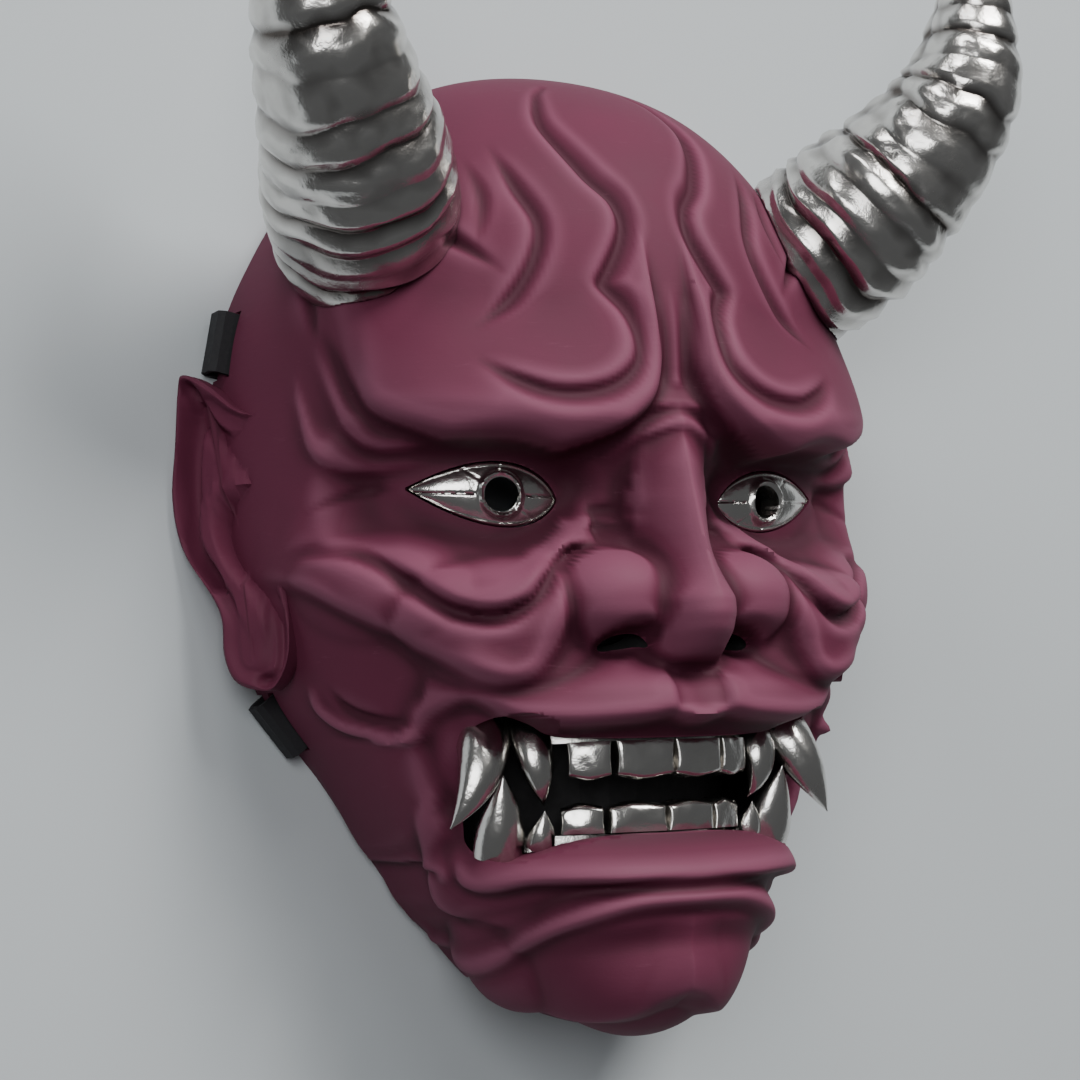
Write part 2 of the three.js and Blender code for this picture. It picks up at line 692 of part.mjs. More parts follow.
// slab that follows the almond, from one height to another, domed on top
function almondSlab(bottom, top, domed, margin) {
  const us = [0, 0.05, 0.18, 0.38, 0.6, 0.82, 1];
  const vs = [-1, -0.6, 0, 0.6, 1];
  const swell = (u, v) => domed * (1 - v * v) * Math.sin(Math.PI * clamp(u, 0.02, 0.98)) ** 0.5;
  const upper = us.map((u) => vs.map((v) => almondPoint(u, v, top + swell(u, v), margin)));
  const lower = us.map((u) => vs.map((v) => almondPoint(u, v, bottom, margin)));
  const rings = us.map((_, i) => [...upper[i], ...lower[i].slice().reverse()]);
  return skin(rings);
}

// matrix that stands a Z-axis geometry on a point with its axis along a direction
function standing(point, direction) {
  const out = new THREE.Vector3(0, 0, 1);
  const turn = new THREE.Quaternion().setFromUnitVectors(out, direction.clone().normalize());
  return new THREE.Matrix4().compose(new THREE.Vector3(...point), turn, new THREE.Vector3(1, 1, 1));
}

function rod(point, direction, radiusX, radiusY, from, to, sides, turn = 0) {
  const geometry = new THREE.CylinderGeometry(1, 1, to - from, sides);
  geometry.rotateX(Math.PI / 2).scale(radiusX, radiusY, 1).rotateZ(turn).translate(0, 0, (from + to) / 2);
  return solidOf(geometry, standing(point, direction));
}

function nostrilHole() {
  const lean = new THREE.Vector3(0, -nostril.lean, 1);
  const { x, y, z, halfWidth, halfHeight, inwards, outwards, turn } = nostril;
  return rod([x, y, z], lean, halfWidth, halfHeight, -inwards, outwards, 12, turn);
}

function mouthHole() {
  const right = mouthOutline.slice(1, -1).reverse().map(([x, y]) => [-x, y]);
  return prism([...mouthOutline, ...right], 15, 100);
}

function slotFrame(place) {
  const inward = new THREE.Vector3(...place.inward, 0).normalize();
  const across = new THREE.Vector3(-inward.y, inward.x, 0);
  const frame = new THREE.Matrix4().makeBasis(inward, across, new THREE.Vector3(0, 0, 1));
  return frame.setPosition(...place.at, 0);
}

function slotCut(place, bottom, top) {
  const geometry = new THREE.BoxGeometry(2 * slot.reach, slot.width, top - bottom);
  geometry.translate(0, 0, (top + bottom) / 2);
  return solidOf(geometry, slotFrame(place));
}

function earFrame(side) {
  const spread = ear.spread[side];
  const front = new THREE.Vector3(ear.front[0], 0, ear.front[1]);
  const back = new THREE.Vector3(ear.back[0] * spread, 0, ear.back[1]);
  const backwards = back.clone().sub(front).normalize();
  const up = new THREE.Vector3(0, 1, 0);
  const out = backwards.clone().cross(up).normalize();
  const frame = new THREE.Matrix4().makeBasis(backwards, up, out);
  return frame.setPosition(front);
}

function earSolid(side) {
  const slab = new THREE.ExtrudeGeometry(shapeOf(earOutline), {
    depth: ear.thickness - 2 * ear.bevel, bevelEnabled: true, bevelSize: ear.bevel,
    bevelThickness: ear.bevel, bevelOffset: -ear.bevel, bevelSegments: 1,
  });
  slab.translate(0, 0, ear.bevel - ear.thickness);
  const bowl = new THREE.ExtrudeGeometry(shapeOf(earBowl), { depth: 8, bevelEnabled: false });
  bowl.translate(0, 0, -ear.bowlDepth);
  const frame = earFrame(side);
  const whole = solidOf(slab, frame).subtract(solidOf(bowl, frame));
  const floorCut = prism([[-150, -150], [150, -150], [150, 150], [-150, 150]], -60, 0);
  return whole.subtract(floorCut);
}

function faceShell() {
  const cavity = hollow();
  let shell = outerDome(0);
  shell = shell.add(earSolid("left")).add(mirrored(earSolid("right")));
  shell = shell.subtract(cavity).subtract(mouthHole());
  const halves = [
    almondSlab(-eye.sunk - 22, -eye.sunk + 12, 0, gap),
    nostrilHole(),
    slotCut(upperSlot, slot.bottom, slot.top),
    slotCut(upperSlot, -1, slot.notch),
    slotCut(lowerSlot, slot.bottom, slot.top),
    slotCut(lowerSlot, -1, slot.notch),
  ];
  for (const cut of halves) shell = shell.subtract(cut).subtract(mirrored(cut));
  return shell;
}

// eye inserts

function eyeInsert() {
  const { along, turn } = placeOnForm(...eye.hole);
  const centre = plainPoint(along, turn);
  const out = plainNormal(along, turn);
  const slab = almondSlab(-eye.sunk - eye.thickness, -eye.sunk, eye.dome, 0);
  const ringTop = -eye.sunk + eye.dome + eye.ringRise;
  const ring = rod(centre.toArray(), out, eye.ringRadius, eye.ringRadius, -eye.sunk - 1, ringTop, 14);
  const hole = rod(centre.toArray(), out, eye.holeRadius, eye.holeRadius, -20, 10, 14);
  return slab.add(ring).subtract(hole);
}

// horns

function sweepFrames(line, steps) {
  const frames = [];
  for (let k = 0; k <= steps; k += 1) {
    const at = Math.min((k * (line.length - 1)) / steps, line.length - 1 - 1e-6);
    const point = new THREE.Vector3(...splineAt(line, at));
    const ahead = new THREE.Vector3(...splineAt(line, Math.min(at + 0.02, line.length - 1 - 1e-7)));
    const behind = new THREE.Vector3(...splineAt(line, Math.max(at - 0.02, 0)));
    const forward = ahead.sub(behind).normalize();
    const side = new THREE.Vector3(0, 1, 0).cross(forward).normalize();
    frames.push({ at, point, side, up: forward.clone().cross(side) });
  }
  return frames;
}

function horn(seat) {
  const steps = hornRings * 2;
  const radii = hornRadii.map((radius) => [radius]);
  const rings = sweepFrames(hornLine, steps).map(({ at, point, side, up }, k) => {
    const [radius] = splineAt(radii, at);
    const swell = 1 + ringRise * (k % 2 ? 1 : -0.6) * smooth(steps, steps - 5, k);
    return Array.from({ length: hornSides }, (_, j) => {
      const angle = (2 * Math.PI * j) / hornSides;
      const reach = Math.max(radius * swell, 0.5);
      const spot = point.clone().addScaledVector(side, reach * Math.cos(angle));
      return spot.addScaledVector(up, reach * Math.sin(angle)).toArray();
    });
  });
  return skin(rings).subtract(seat);
}

// teeth

function rowFront(row, x) {
  return row.front - row.sweep * x * x;
}

// rounded block of one front tooth between two places of the row
function incisor(row, from, to) {
  const middle = (from + to) / 2;
  const half = Math.abs(to - from) / 2 - toothGap;
  const slopeAngle = Math.atan(2 * row.sweep * middle);
  const levels = [[0, 1], [0.35, 1.02], [0.8, 0.97], [1, 0.8]];
  return skin(levels.map(([t, share]) => {
    const y = row.root + t * (row.edge - row.root);
    const bulge = 1.2 * Math.sin(Math.PI * Math.min(t + 0.15, 1)) ** 0.5;
    const outline = [[-1, -0.2], [-0.75, 0.12], [0, 0.2], [0.75, 0.12], [1, -0.2], [0.95, -1], [-0.95, -1]];
    return outline.map(([a, b]) => {
      const across = a * half * share;
      const depth = b < -0.5 ? -toothDepth : b * bulge * 1.6 - 0.5 + 0.6 * bulge - 0.8 * t;
      return [
        middle + across * Math.cos(slopeAngle) + depth * Math.sin(slopeAngle),
        y,
        rowFront(row, middle) - across * Math.sin(slopeAngle) + depth * Math.cos(slopeAngle),
      ];
    });
  }));
}

function fang({ from, bend, to, radius }) {
  const path = new THREE.QuadraticBezierCurve3(...[from, bend, to].map((p) => new THREE.Vector3(...p)));
  const levels = [0, 0.18, 0.4, 0.62, 0.82, 1];
  return skin(levels.map((t) => {
    const centre = path.getPoint(t);
    const forward = path.getTangent(t);
    const side = new THREE.Vector3(0, 0, 1).cross(forward).normalize();
    const up = forward.clone().cross(side);
    const reach = radius * Math.max(0.93 + 0.35 * t - 1.28 * t * t, 0.05);
    return Array.from({ length: 8 }, (_, j) => {
      const angle = (2 * Math.PI * j) / 8;
      const spot = centre.clone().addScaledVector(side, reach * Math.cos(angle));
      return spot.addScaledVector(up, fangFlatness * reach * Math.sin(angle)).toArray();
    });
  }));
}

function toothBar(row, { reach, low, high }) {
  const steps = 12;
  const rings = [];
  for (let k = 0; k <= steps; k += 1) {
    const x = reach * ((2 * k) / steps - 1);
    const front = rowFront(row, x) - rowBar.front;
    const back = rowFront(row, x) - rowBar.back;
    rings.push([[x, low, front], [x, high, front], [x, high, back], [x, low, back]]);
  }
  return skin(rings);
}

function teeth(row, bar, fangs) {
  let strip = toothBar(row, bar);
  for (let k = 0; k + 1 < incisorEdges.length; k += 1) {
    strip = strip.add(incisor(row, incisorEdges[k], incisorEdges[k + 1]));
  }
  for (const settings of fangs) {
    const one = fang(settings);
    strip = strip.add(one).add(mirrored(one));
  }
  return strip;
}

// dark plate that closes the mouth behind the teeth
function mouthBacking() {
  const steps = 12;
  const rings = [];
  for (let k = 0; k <= steps; k += 1) {
    const x = backing.halfWidth * ((2 * k) / steps - 1);
    const front = rowFront(lowerRow, x) - backing.behind + 4;
    const back = front - backing.thickness;
    const low = x * backing.narrowing;
    rings.push([
      [low, backing.bottom, front - 4], [x, backing.top, front], [x, backing.top, back],
      [low, backing.bottom, back - 4],
    ]);
  }
  return skin(rings);
}

// straps

// flat band along a path; each station gives its point and the direction of its width
function ribbon(stations) {
  const rings = stations.map(({ point, across, ahead }) => {
    const lift = ahead.clone().cross(across).normalize().multiplyScalar(strap.thickness / 2);
    const half = across.clone().multiplyScalar(strap.width / 2);
    return [[1, 1], [-1, 1], [-1, -1], [1, -1]].map(([a, b]) => point.clone()
      .addScaledVector(half, a).addScaledVector(lift, b).toArray());
  });
  return skin(rings);
}

function strapBand(place) {
  const level = strap.floor + strap.thickness / 2;
  const slotLevel = (slot.bottom + slot.top) / 2;
  const { outside } = strap;
  const inside = wall + 3;
  // loop round the bar, in the slot's own frame: [inwards, up]
  const loop = [
    [inside + 16, level + 1.6], [inside + 9, level + 2.2], [inside + 2, slotLevel - 0.6],
    [0, slotLevel], [-outside + 1, slotLevel], [-outside, slotLevel - 0.9],
    [-outside, level + 0.9], [-outside + 1, level], [inside, level],
  ];
  const frame = slotFrame(place);
  const inward = new THREE.Vector3(...place.inward, 0).normalize();
  const across = new THREE.Vector3(-inward.y, inward.x, 0);
  const half = loop.map(([a, b]) => ({ point: new THREE.Vector3(a, 0, b).applyMatrix4(frame), across }));
  const start = half[half.length - 1].point;
  const knee = start.clone().addScaledVector(inward, (start.x * 0.5) / Math.abs(inward.x));
  const middle = new THREE.Vector3(0, place.middle, level);
  const bend = new THREE.Vector3(start.x * 0.35, place.middle, level);
  const run = new THREE.CubicBezierCurve3(start, knee, bend, middle);
  for (let k = 1; k <= 8; k += 1) {
    const tangent = run.getTangent(k / 8);
    half.push({ point: run.getPoint(k / 8), across: new THREE.Vector3(-tangent.y, tangent.x, 0) });
  }
  const other = half.slice(0, -1).reverse().map(({ point, across: a }) => ({
    point: new THREE.Vector3(-point.x, point.y, point.z), across: new THREE.Vector3(-a.x, a.y, a.z),
  }));
  const all = [...half, ...other];
  all.forEach((station, k) => {
    const next = all[Math.min(k + 1, all.length - 1)].point;
    const last = all[Math.max(k - 1, 0)].point;
    station.ahead = next.clone().sub(last).normalize();
  });
  return ribbon(all);
}

// the mask

const lacquer = { color: 0x70364e, roughness: 0.55, metalness: 0 };
const silver = { color: 0xbdb9b4, roughness: 0.22, metalness: 1 };
const black = { color: 0x0c0b0c, roughness: 0.9, metalness: 0 };
const elastic = { color: 0x17161a, roughness: 0.85, metalness: 0 };

function piece(name, item, look) {
  const mesh = item.getMesh();
  const geometry = new THREE.BufferGeometry();
  geometry.setAttribute("position", new THREE.BufferAttribute(new Float32Array(mesh.vertProperties), 3));
  geometry.setIndex(Array.from(mesh.triVerts));
  const result = new THREE.Mesh(geometry, new THREE.MeshStandardMaterial(look));
  result.name = name;
  return result;
}

const mask = new THREE.Group();
const hornLift = new THREE.Vector3(0.45, 0.36, 0.82).multiplyScalar(gap);
const hornSeat = outerDome(gap).add(outerDome(0).translate(...hornLift.toArray()));
const leftHorn = horn(hornSeat);
const leftEye = eyeInsert();
mask.add(
  piece("face_shell", faceShell(), lacquer),
  piece("left_horn", leftHorn, silver),
  piece("right_horn", mirrored(leftHorn), silver),
  piece("left_eye", leftEye, silver),
  piece("right_eye", mirrored(leftEye), silver),
  piece("upper_teeth", teeth(upperRow, upperBar, upperFangs), silver),
  piece("lower_teeth", teeth(lowerRow, lowerBar, lowerFangs), silver),
  piece("mouth_backing", mouthBacking(), black),
  piece("upper_strap", strapBand(upperSlot), elastic),
  piece("lower_strap", strapBand(lowerSlot), elastic),
);

// the origin goes to the middle of the outline seen from the front, on the rim plane
const outline = new THREE.Box3().setFromObject(mask);
mask.position.set(0, -(outline.min.y + outline.max.y) / 2, 0);

export default mask;
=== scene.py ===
# Horned demon mask lying face up on its back rim. Shapes are worked out in millimetres, x to the
# mask's own left, y to its crown and z straight out of the face, and stored in metres.
import math
import bpy
import bmesh
import numpy as np
from mathutils import Matrix, Vector, noise
from mathutils.kdtree import KDTree


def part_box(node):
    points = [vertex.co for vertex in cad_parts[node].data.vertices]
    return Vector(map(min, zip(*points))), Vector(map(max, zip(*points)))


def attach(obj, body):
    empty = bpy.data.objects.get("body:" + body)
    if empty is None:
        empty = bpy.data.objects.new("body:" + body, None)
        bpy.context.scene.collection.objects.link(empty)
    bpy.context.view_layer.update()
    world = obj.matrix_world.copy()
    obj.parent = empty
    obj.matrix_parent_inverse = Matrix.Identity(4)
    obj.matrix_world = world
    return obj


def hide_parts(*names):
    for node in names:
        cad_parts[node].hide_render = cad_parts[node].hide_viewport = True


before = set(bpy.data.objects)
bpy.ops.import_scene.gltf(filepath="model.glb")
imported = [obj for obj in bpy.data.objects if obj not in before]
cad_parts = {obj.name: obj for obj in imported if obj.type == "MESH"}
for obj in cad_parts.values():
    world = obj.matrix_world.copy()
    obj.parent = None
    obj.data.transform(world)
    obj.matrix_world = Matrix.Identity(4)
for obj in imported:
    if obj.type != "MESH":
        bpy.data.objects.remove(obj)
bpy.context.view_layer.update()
print("frame loaded")

millimetre = 0.001

# The plain form of the face. Each section joins a point of the middle line (midY, midZ) to a point
# of the back rim (rimX, rimY) by a bowed arc.
faceForm = {
    "sections": [
        # midY, midZ, rimX, rimY, bow
        (116.5, 0, 0, 116.5, 2), (114, 19, 27, 111.5, 2), (105, 40, 48, 99.5, 2),
        (90, 56.5, 63, 83, 2), (70, 67, 74, 66, 2), (48, 71.5, 82, 48, 2), (25, 71, 85.5, 26, 2),
        (2, 68, 85.5, 3, 2.05), (-20, 67, 82.5, -19, 2.1), (-42, 67, 74, -41, 2.15),
        (-62, 65, 59, -61, 2.4), (-80, 62, 47, -79, 2.8), (-95, 59, 35.5, -94, 2.8),
        (-108, 54, 23, -105, 2.5), (-117, 42, 13.5, -113, 2.2), (-120.5, 22, 6, -117.5, 2),
        (-118.5, 0, 0, -118.5, 2),
    ],
    "rows": 384,
    "halfColumns": 112,
    "columnPower": 1.15,  # above 1 the columns crowd towards the middle of the face
    "wall": 4,
    "flushHeight": 4,  # the relief dies out this far above the back rim
    "gap": 0.3,
}
crownY = faceForm["sections"][0][0]
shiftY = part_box("face_shell")[1][1] / millimetre - crownY
lastSection = len(faceForm["sections"]) - 1


def smoothStep(low, high, value):
    t = np.clip((value - low) / (high - low), 0, 1)
    return t * t * (3 - 2 * t)


def smoothMaximum(a, b, blend):
    t = np.clip(0.5 + 0.5 * (a - b) / blend, 0, 1)
    return b * (1 - t) + a * t + blend * t * (1 - t)


def splineRows(rows, at):
    # smooth curve through rows of numbers, at each place of the array at
    rows = np.asarray(rows, float)
    at = np.clip(np.asarray(at, float), 0, len(rows) - 1 - 1e-9)
    start = np.floor(at).astype(int)
    t = (at - start)[:, None]

    def row(k):
        inside = rows[np.clip(k, 0, len(rows) - 1)]
        before = np.where((k < 0)[:, None], 2 * rows[0] - rows[1], inside)
        return np.where((k > len(rows) - 1)[:, None], 2 * rows[-1] - rows[-2], before)

    a, b, c, d = row(start - 1), row(start), row(start + 1), row(start + 2)
    return 0.5 * (2 * b + (c - a) * t + (2 * a - 5 * b + 4 * c - d) * t**2 + (3 * b - a - 3 * c + d) * t**3)


def smoothLine(points, stepsPerSpan=8):
    count = (len(points) - 1) * stepsPerSpan
    return splineRows(points, np.linspace(0, len(points) - 1, count + 1))


def plainSpots(along, turn):
    midY, midZ, rimX, rimY, bow = splineRows(faceForm["sections"], along).T
    across = np.sin(turn)
    up = np.maximum(np.cos(turn), 0)
    reach = (np.abs(across) ** bow + up**bow) ** (-1 / bow)
    return np.stack([rimX * across * reach, rimY + (midY - rimY) * up * reach, midZ * up * reach], 1)


def plainNormals(along, turn):
    s = np.clip(along, 0.03, lastSection - 0.03)
    t = np.clip(turn, -math.pi / 2 + 0.01, math.pi / 2 - 0.01)
    down = plainSpots(s + 0.02, t) - plainSpots(s - 0.02, t)
    across = plainSpots(s, t + 0.01) - plainSpots(s, t - 0.01)
    normal = np.cross(down, across)
    return normal / (np.linalg.norm(normal, axis=1)[:, None] + 1e-12)


scanAlong = np.linspace(0.02, lastSection - 0.02, 1600)
scanSections = splineRows(faceForm["sections"], scanAlong)


def placeOnForm(x, y):
    # where a point seen from the front lies on the plain form: along and turn
    midY, midZ, rimX, rimY, bow = scanSections.T
    share = np.clip(abs(x) / np.maximum(rimX, 1e-6), 0, 1)
    up = (1 - share**bow) ** (1 / bow)
    miss = np.where(abs(x) <= rimX, rimY + (midY - rimY) * up - y, np.nan)
    crossings = np.where(np.isfinite(miss[:-1]) & np.isfinite(miss[1:]) & (miss[:-1] * miss[1:] <= 0))[0]
    k = int(crossings[0]) if len(crossings) else int(np.nanargmin(np.abs(miss)))
    turn = math.atan2(share[k], up[k]) * (-1 if x < 0 else 1)
    if not len(crossings):
        return scanAlong[k], turn
    t = miss[k] / (miss[k] - miss[k + 1])
    along = scanAlong[k] + t * (scanAlong[k + 1] - scanAlong[k])
    section = splineRows(faceForm["sections"], [along])[0]
    share = min(1, abs(x) / section[2])
    up = (1 - share ** section[4]) ** (1 / section[4])
    return along, math.atan2(share, up) * (-1 if x < 0 else 1)


def spotOnForm(x, y, height=0):
    along, turn = placeOnForm(x, y)
    at, by = np.array([along]), np.array([turn])
    return (plainSpots(at, by) + height * plainNormals(at, by))[0]


# Carving. A patch holds the spots and normals of a sheet of points and the height carved so far.
def newPatch(along, turn):
    return {
        "spot": plainSpots(along, turn),
        "normal": plainNormals(along, turn),
        "height": np.zeros(len(along)),
    }


def tracedLine(points):
    line = smoothLine(points)
    spots = np.array([spotOnForm(x, y) for x, y in line[:, :2]])
    return line, spots


def stretchesTo(places, line):
    # for each stretch of a line: its step, the share along it nearest to each place, and the way there
    for start, end in zip(line, line[1:]):
        step = end - start
        offset = places - start
        t = np.clip(offset @ step / (step @ step + 1e-9), 0, 1)
        yield step, t, offset - t[:, None] * step


def nearestOnLine(patch, spots, values, reach):
    # points of the patch within reach of a line: their index, distance, side and value there
    low = spots.min(0) - reach
    high = spots.max(0) + reach
    index = np.where(((patch["spot"] >= low) & (patch["spot"] <= high)).all(1))[0]
    here = patch["spot"][index]
    normal = patch["normal"][index]
    best = np.full(len(index), 1e9)
    side = np.ones(len(index))
    value = np.zeros(len(index))
    for k, (step, t, offset) in enumerate(stretchesTo(here, spots)):
        square = np.einsum("ij,ij->i", offset, offset)
        closer = square < best
        turned = np.sign(np.einsum("ij,ij->i", np.cross(step[None, :], offset), normal))
        best = np.where(closer, square, best)
        side = np.where(closer, turned, side)
        value = np.where(closer, values[k] + t * (values[k + 1] - values[k]), value)
    return index, np.sqrt(best), side, value


def carveShelf(patch, points, slope, fade, across="x", fadePower=1.0, round=0.5):
    # stands up to its height along an edge, falls over the slope outside it, fades inside it
    line, spots = tracedLine(points)
    run = 0 if across == "x" else 1
    order = np.argsort(line[:, run])
    stations, edge, heights = line[order, run], line[order, 1 - run], line[order, 2]
    flat = patch["spot"][:, :2].copy()
    inRange = (flat[:, run] >= stations[0]) & (flat[:, run] <= stations[-1])
    inside = flat[:, 1 - run] - np.interp(flat[:, run], stations, edge)
    onShelf = inRange & (inside >= 0) & (inside < fade)
    t = 1 - inside / fade
    t = np.clip(t * t * (3 - 2 * t), 0, 1)
    height = np.interp(flat[:, run], stations, heights)
    patch["height"][onShelf] += (height * t**fadePower)[onShelf]
    index, distance, side, value = nearestOnLine(patch, spots, line[:, 2], slope + 1)
    outside = ~(inRange[index] & (inside[index] >= 0))
    fall = np.clip(1 - distance / slope, 0, 1)
    fall = round * fall * fall * (3 - 2 * fall) + (1 - round) * fall
    patch["height"][index] += np.where(outside, value * fall, 0)


def carveChannel(patch, lines, left, right, depth, power=1.0):
    count = len(patch["height"])
    nearest = np.full(count, 1e9)
    sides = np.ones(count)
    shares = np.zeros(count)
    for points in lines:
        line, spots = tracedLine(points)
        index, distance, side, value = nearestOnLine(patch, spots, line[:, 2], max(left, right) + 1)
        closer = distance < nearest[index]
        picked = index[closer]
        nearest[picked] = distance[closer]
        sides[picked] = side[closer]
        shares[picked] = value[closer]
    width = np.where(sides > 0, left, right) * np.clip(shares, 0.3, 1)
    patch["height"] -= depth * np.clip(1 - nearest / width, 0, 1) ** power * shares


def carveRidge(patch, points, width, sharp=0.0):
    line, spots = tracedLine(points)
    index, distance, side, value = nearestOnLine(patch, spots, line[:, 2], width + 1)
    t = np.clip(1 - distance / width, 0, 1)
    patch["height"][index] += (sharp * t + (1 - sharp) * t * t * (3 - 2 * t)) * value


def carveBump(patch, x, y, halfWidth, halfHeight, height, tilt=0, power=2):
    centre = spotOnForm(x, y)
    along, turn = placeOnForm(x, y)
    out = plainNormals(np.array([along]), np.array([turn]))[0]
    sideways = np.array([out[2], 0, -out[0]])
    sideways /= np.linalg.norm(sideways)
    upwards = np.cross(out, sideways)
    c, s = math.cos(math.radians(tilt)), math.sin(math.radians(tilt))
    offset = patch["spot"] - centre
    a = offset @ (c * sideways + s * upwards) / halfWidth
    b = offset @ (-s * sideways + c * upwards) / halfHeight
    patch["height"] += height * np.clip(1 - a * a - b * b, 0, 1) ** power


deepCarving = {
    "socket": {"line": [(24, 2.5, 1), (42, 3.5, 1), (61, 4.5, 1)], "depth": 7, "flat": 7, "reach": 20},
    "tearPit": {"x": 24, "y": 4, "halfWidth": 10, "halfHeight": 9, "height": -5},
}


def carveDeep(patch):
    # the eye sockets, which the hollow behind follows too
    socket = deepCarving["socket"]
    line, spots = tracedLine(socket["line"])
    index, distance, side, value = nearestOnLine(patch, spots, line[:, 2], socket["reach"] + 2)
    patch["height"][index] -= socket["depth"] * (1 - smoothStep(socket["flat"], socket["reach"], distance))
    carveBump(patch, **deepCarving["tearPit"])


browCarving = {
    "plate": {
        "points": [
            (71.5, 47, 0), (68.5, 38, 2.2), (66.3, 29.5, 4), (63, 23, 7), (56, 19, 9.5), (46, 15.6, 12),
            (32, 13.8, 14), (23, 15.4, 13), (15, 19.5, 11.5), (9, 25.8, 9), (6.2, 33, 5.5), (5.6, 42, 2),
            (5.4, 48, 0),
        ],
        "slope": 3.4, "fade": 34, "round": 0.15,
    },
    "underTier": {
        "points": [
            (74, 40, 0), (71, 27, 1.5), (68, 18, 2.5), (64.3, 14.8, 3), (57, 14.6, 3), (46, 13.2, 2), (36, 11, 0),
        ],
        "slope": 2, "fade": 9, "round": 0.2,
    },
    "lidTier": {
        "points": [
            (77, 30, 0), (76, 24, 1.2), (74.5, 15, 2.2), (71, 11, 2.6), (66, 9.8, 2.5), (60, 10.2, 2), (50, 11, 0.5),
        ],
        "slope": 1.8, "fade": 9, "round": 0.2,
    },
    "crowsFoot": {
        "lines": [[(76, 0, 0), (72.8, 2.7, 0.8), (67.3, 5.2, 1), (60, 5.1, 0.6)]],
        "left": 1.6, "right": 1.2, "depth": 1.2,
    },
}

cheekCarving = {
    "ball": {"x": 40, "y": -26, "halfWidth": 24, "halfHeight": 15, "height": 7.5, "power": 0.8},
    "bone": {"x": 64, "y": -17, "halfWidth": 22, "halfHeight": 13, "height": 3, "power": 1},
    "lowTier": {
        "points": [
            (82, -12, 0), (74.5, -15.2, 3), (65.7, -21.9, 4), (57, -28.5, 4), (47.7, -34.2, 4), (41, -37, 4),
            (36, -36.5, 4), (32, -31.5, 4), (30, -25, 4), (29, -18, 3), (25, -11, 0),
        ],
        "slope": 3.6, "fade": 16, "round": 0.2,
    },
    "topTier": {
        "points": [
            (79, -7.6, 0), (75, -6, 1), (68, -6.9, 2), (62, -10, 3.5), (54, -16.5, 5), (48.4, -20.6, 5.5),
            (42.4, -22.1, 6), (37.1, -20.2, 6), (33.5, -15.2, 6), (27.8, -9.3, 6), (22.3, -8.3, 5), (17.9, -9.8, 3),
        ],
        "slope": 2.6, "fade": 15, "round": 0.15,
    },
    "bandCrest": {
        "lines": [[
            (77, -10, 0), (70.4, -11, 0.5), (64.4, -14, 0.9), (56.4, -21.5, 1), (50, -26.1, 1), (43.5, -28.2, 1),
            (38.3, -27, 1), (33.5, -22, 1), (30, -15.5, 0.4),
        ]],
        "left": 9, "right": 3, "depth": -2.3, "power": 1.2,
    },
}

noseCarving = {
    "stations": [24, 22.6, 16, 10, 1, -8, -16, -22, -26, -30, -34, -37.5, -40],
    "heights": [0, 3, 6.5, 9.5, 12.8, 16, 19.5, 22.3, 22.6, 20.8, 16, 8, 0],
    "widthStations": [24, 20, 10, 2, -8, -14, -22, -30, -38],
    "widths": [5, 8, 9.5, 10.5, 10, 10.5, 11.5, 11, 10],
    "peaked": 0.6,  # share of a straight-sided roof in the bridge
    "tip": (-10, -24), "tipPower": 0.72,  # where the bridge turns into the round tip
    "wing": {
        "x": 16.5, "y": -21, "halfWidth": 14.5, "rise": 11.5, "drop": 14.5, "height": 15,
        "fadeFrom": -25, "fadeTo": -36, "fadeShare": 0.45,
    },
    "wingBlend": 6, "faceBlend": 2.5, "sunk": 1.5,
    "upperFold": {
        "points": [(15, 13, 0), (11, 18.5, 1.6), (7.4, 21.6, 2.1), (2.2, 23.4, 2.3), (-2, 23.4, 2.3)],
        "slope": 1.5, "fade": 7, "round": 0.2,
    },
    "lowerFold": {
        "points": [(16, 10, 0), (11, 14.4, 1.2), (7.4, 16.4, 1.7), (2, 18.5, 1.9), (-2, 18.5, 1.9)],
        "slope": 1.4, "fade": 4.5, "round": 0.2,
    },
    "tearFolds": {
        "lines": [
            [(22.5, -2, 0.2), (17, -1, 1), (12, -1, 1), (8, -1.5, 0.2)],
            [(23, -5.8, 0.2), (18, -5, 1), (13, -5.2, 1), (8.5, -6, 0.2)],
        ],
        "left": 2.6, "right": 2, "depth": 1.3,
    },
    "nostrilPit": {"x": 15, "y": -31, "halfWidth": 7.5, "halfHeight": 4.2, "height": -7, "tilt": -14, "power": 1},
}

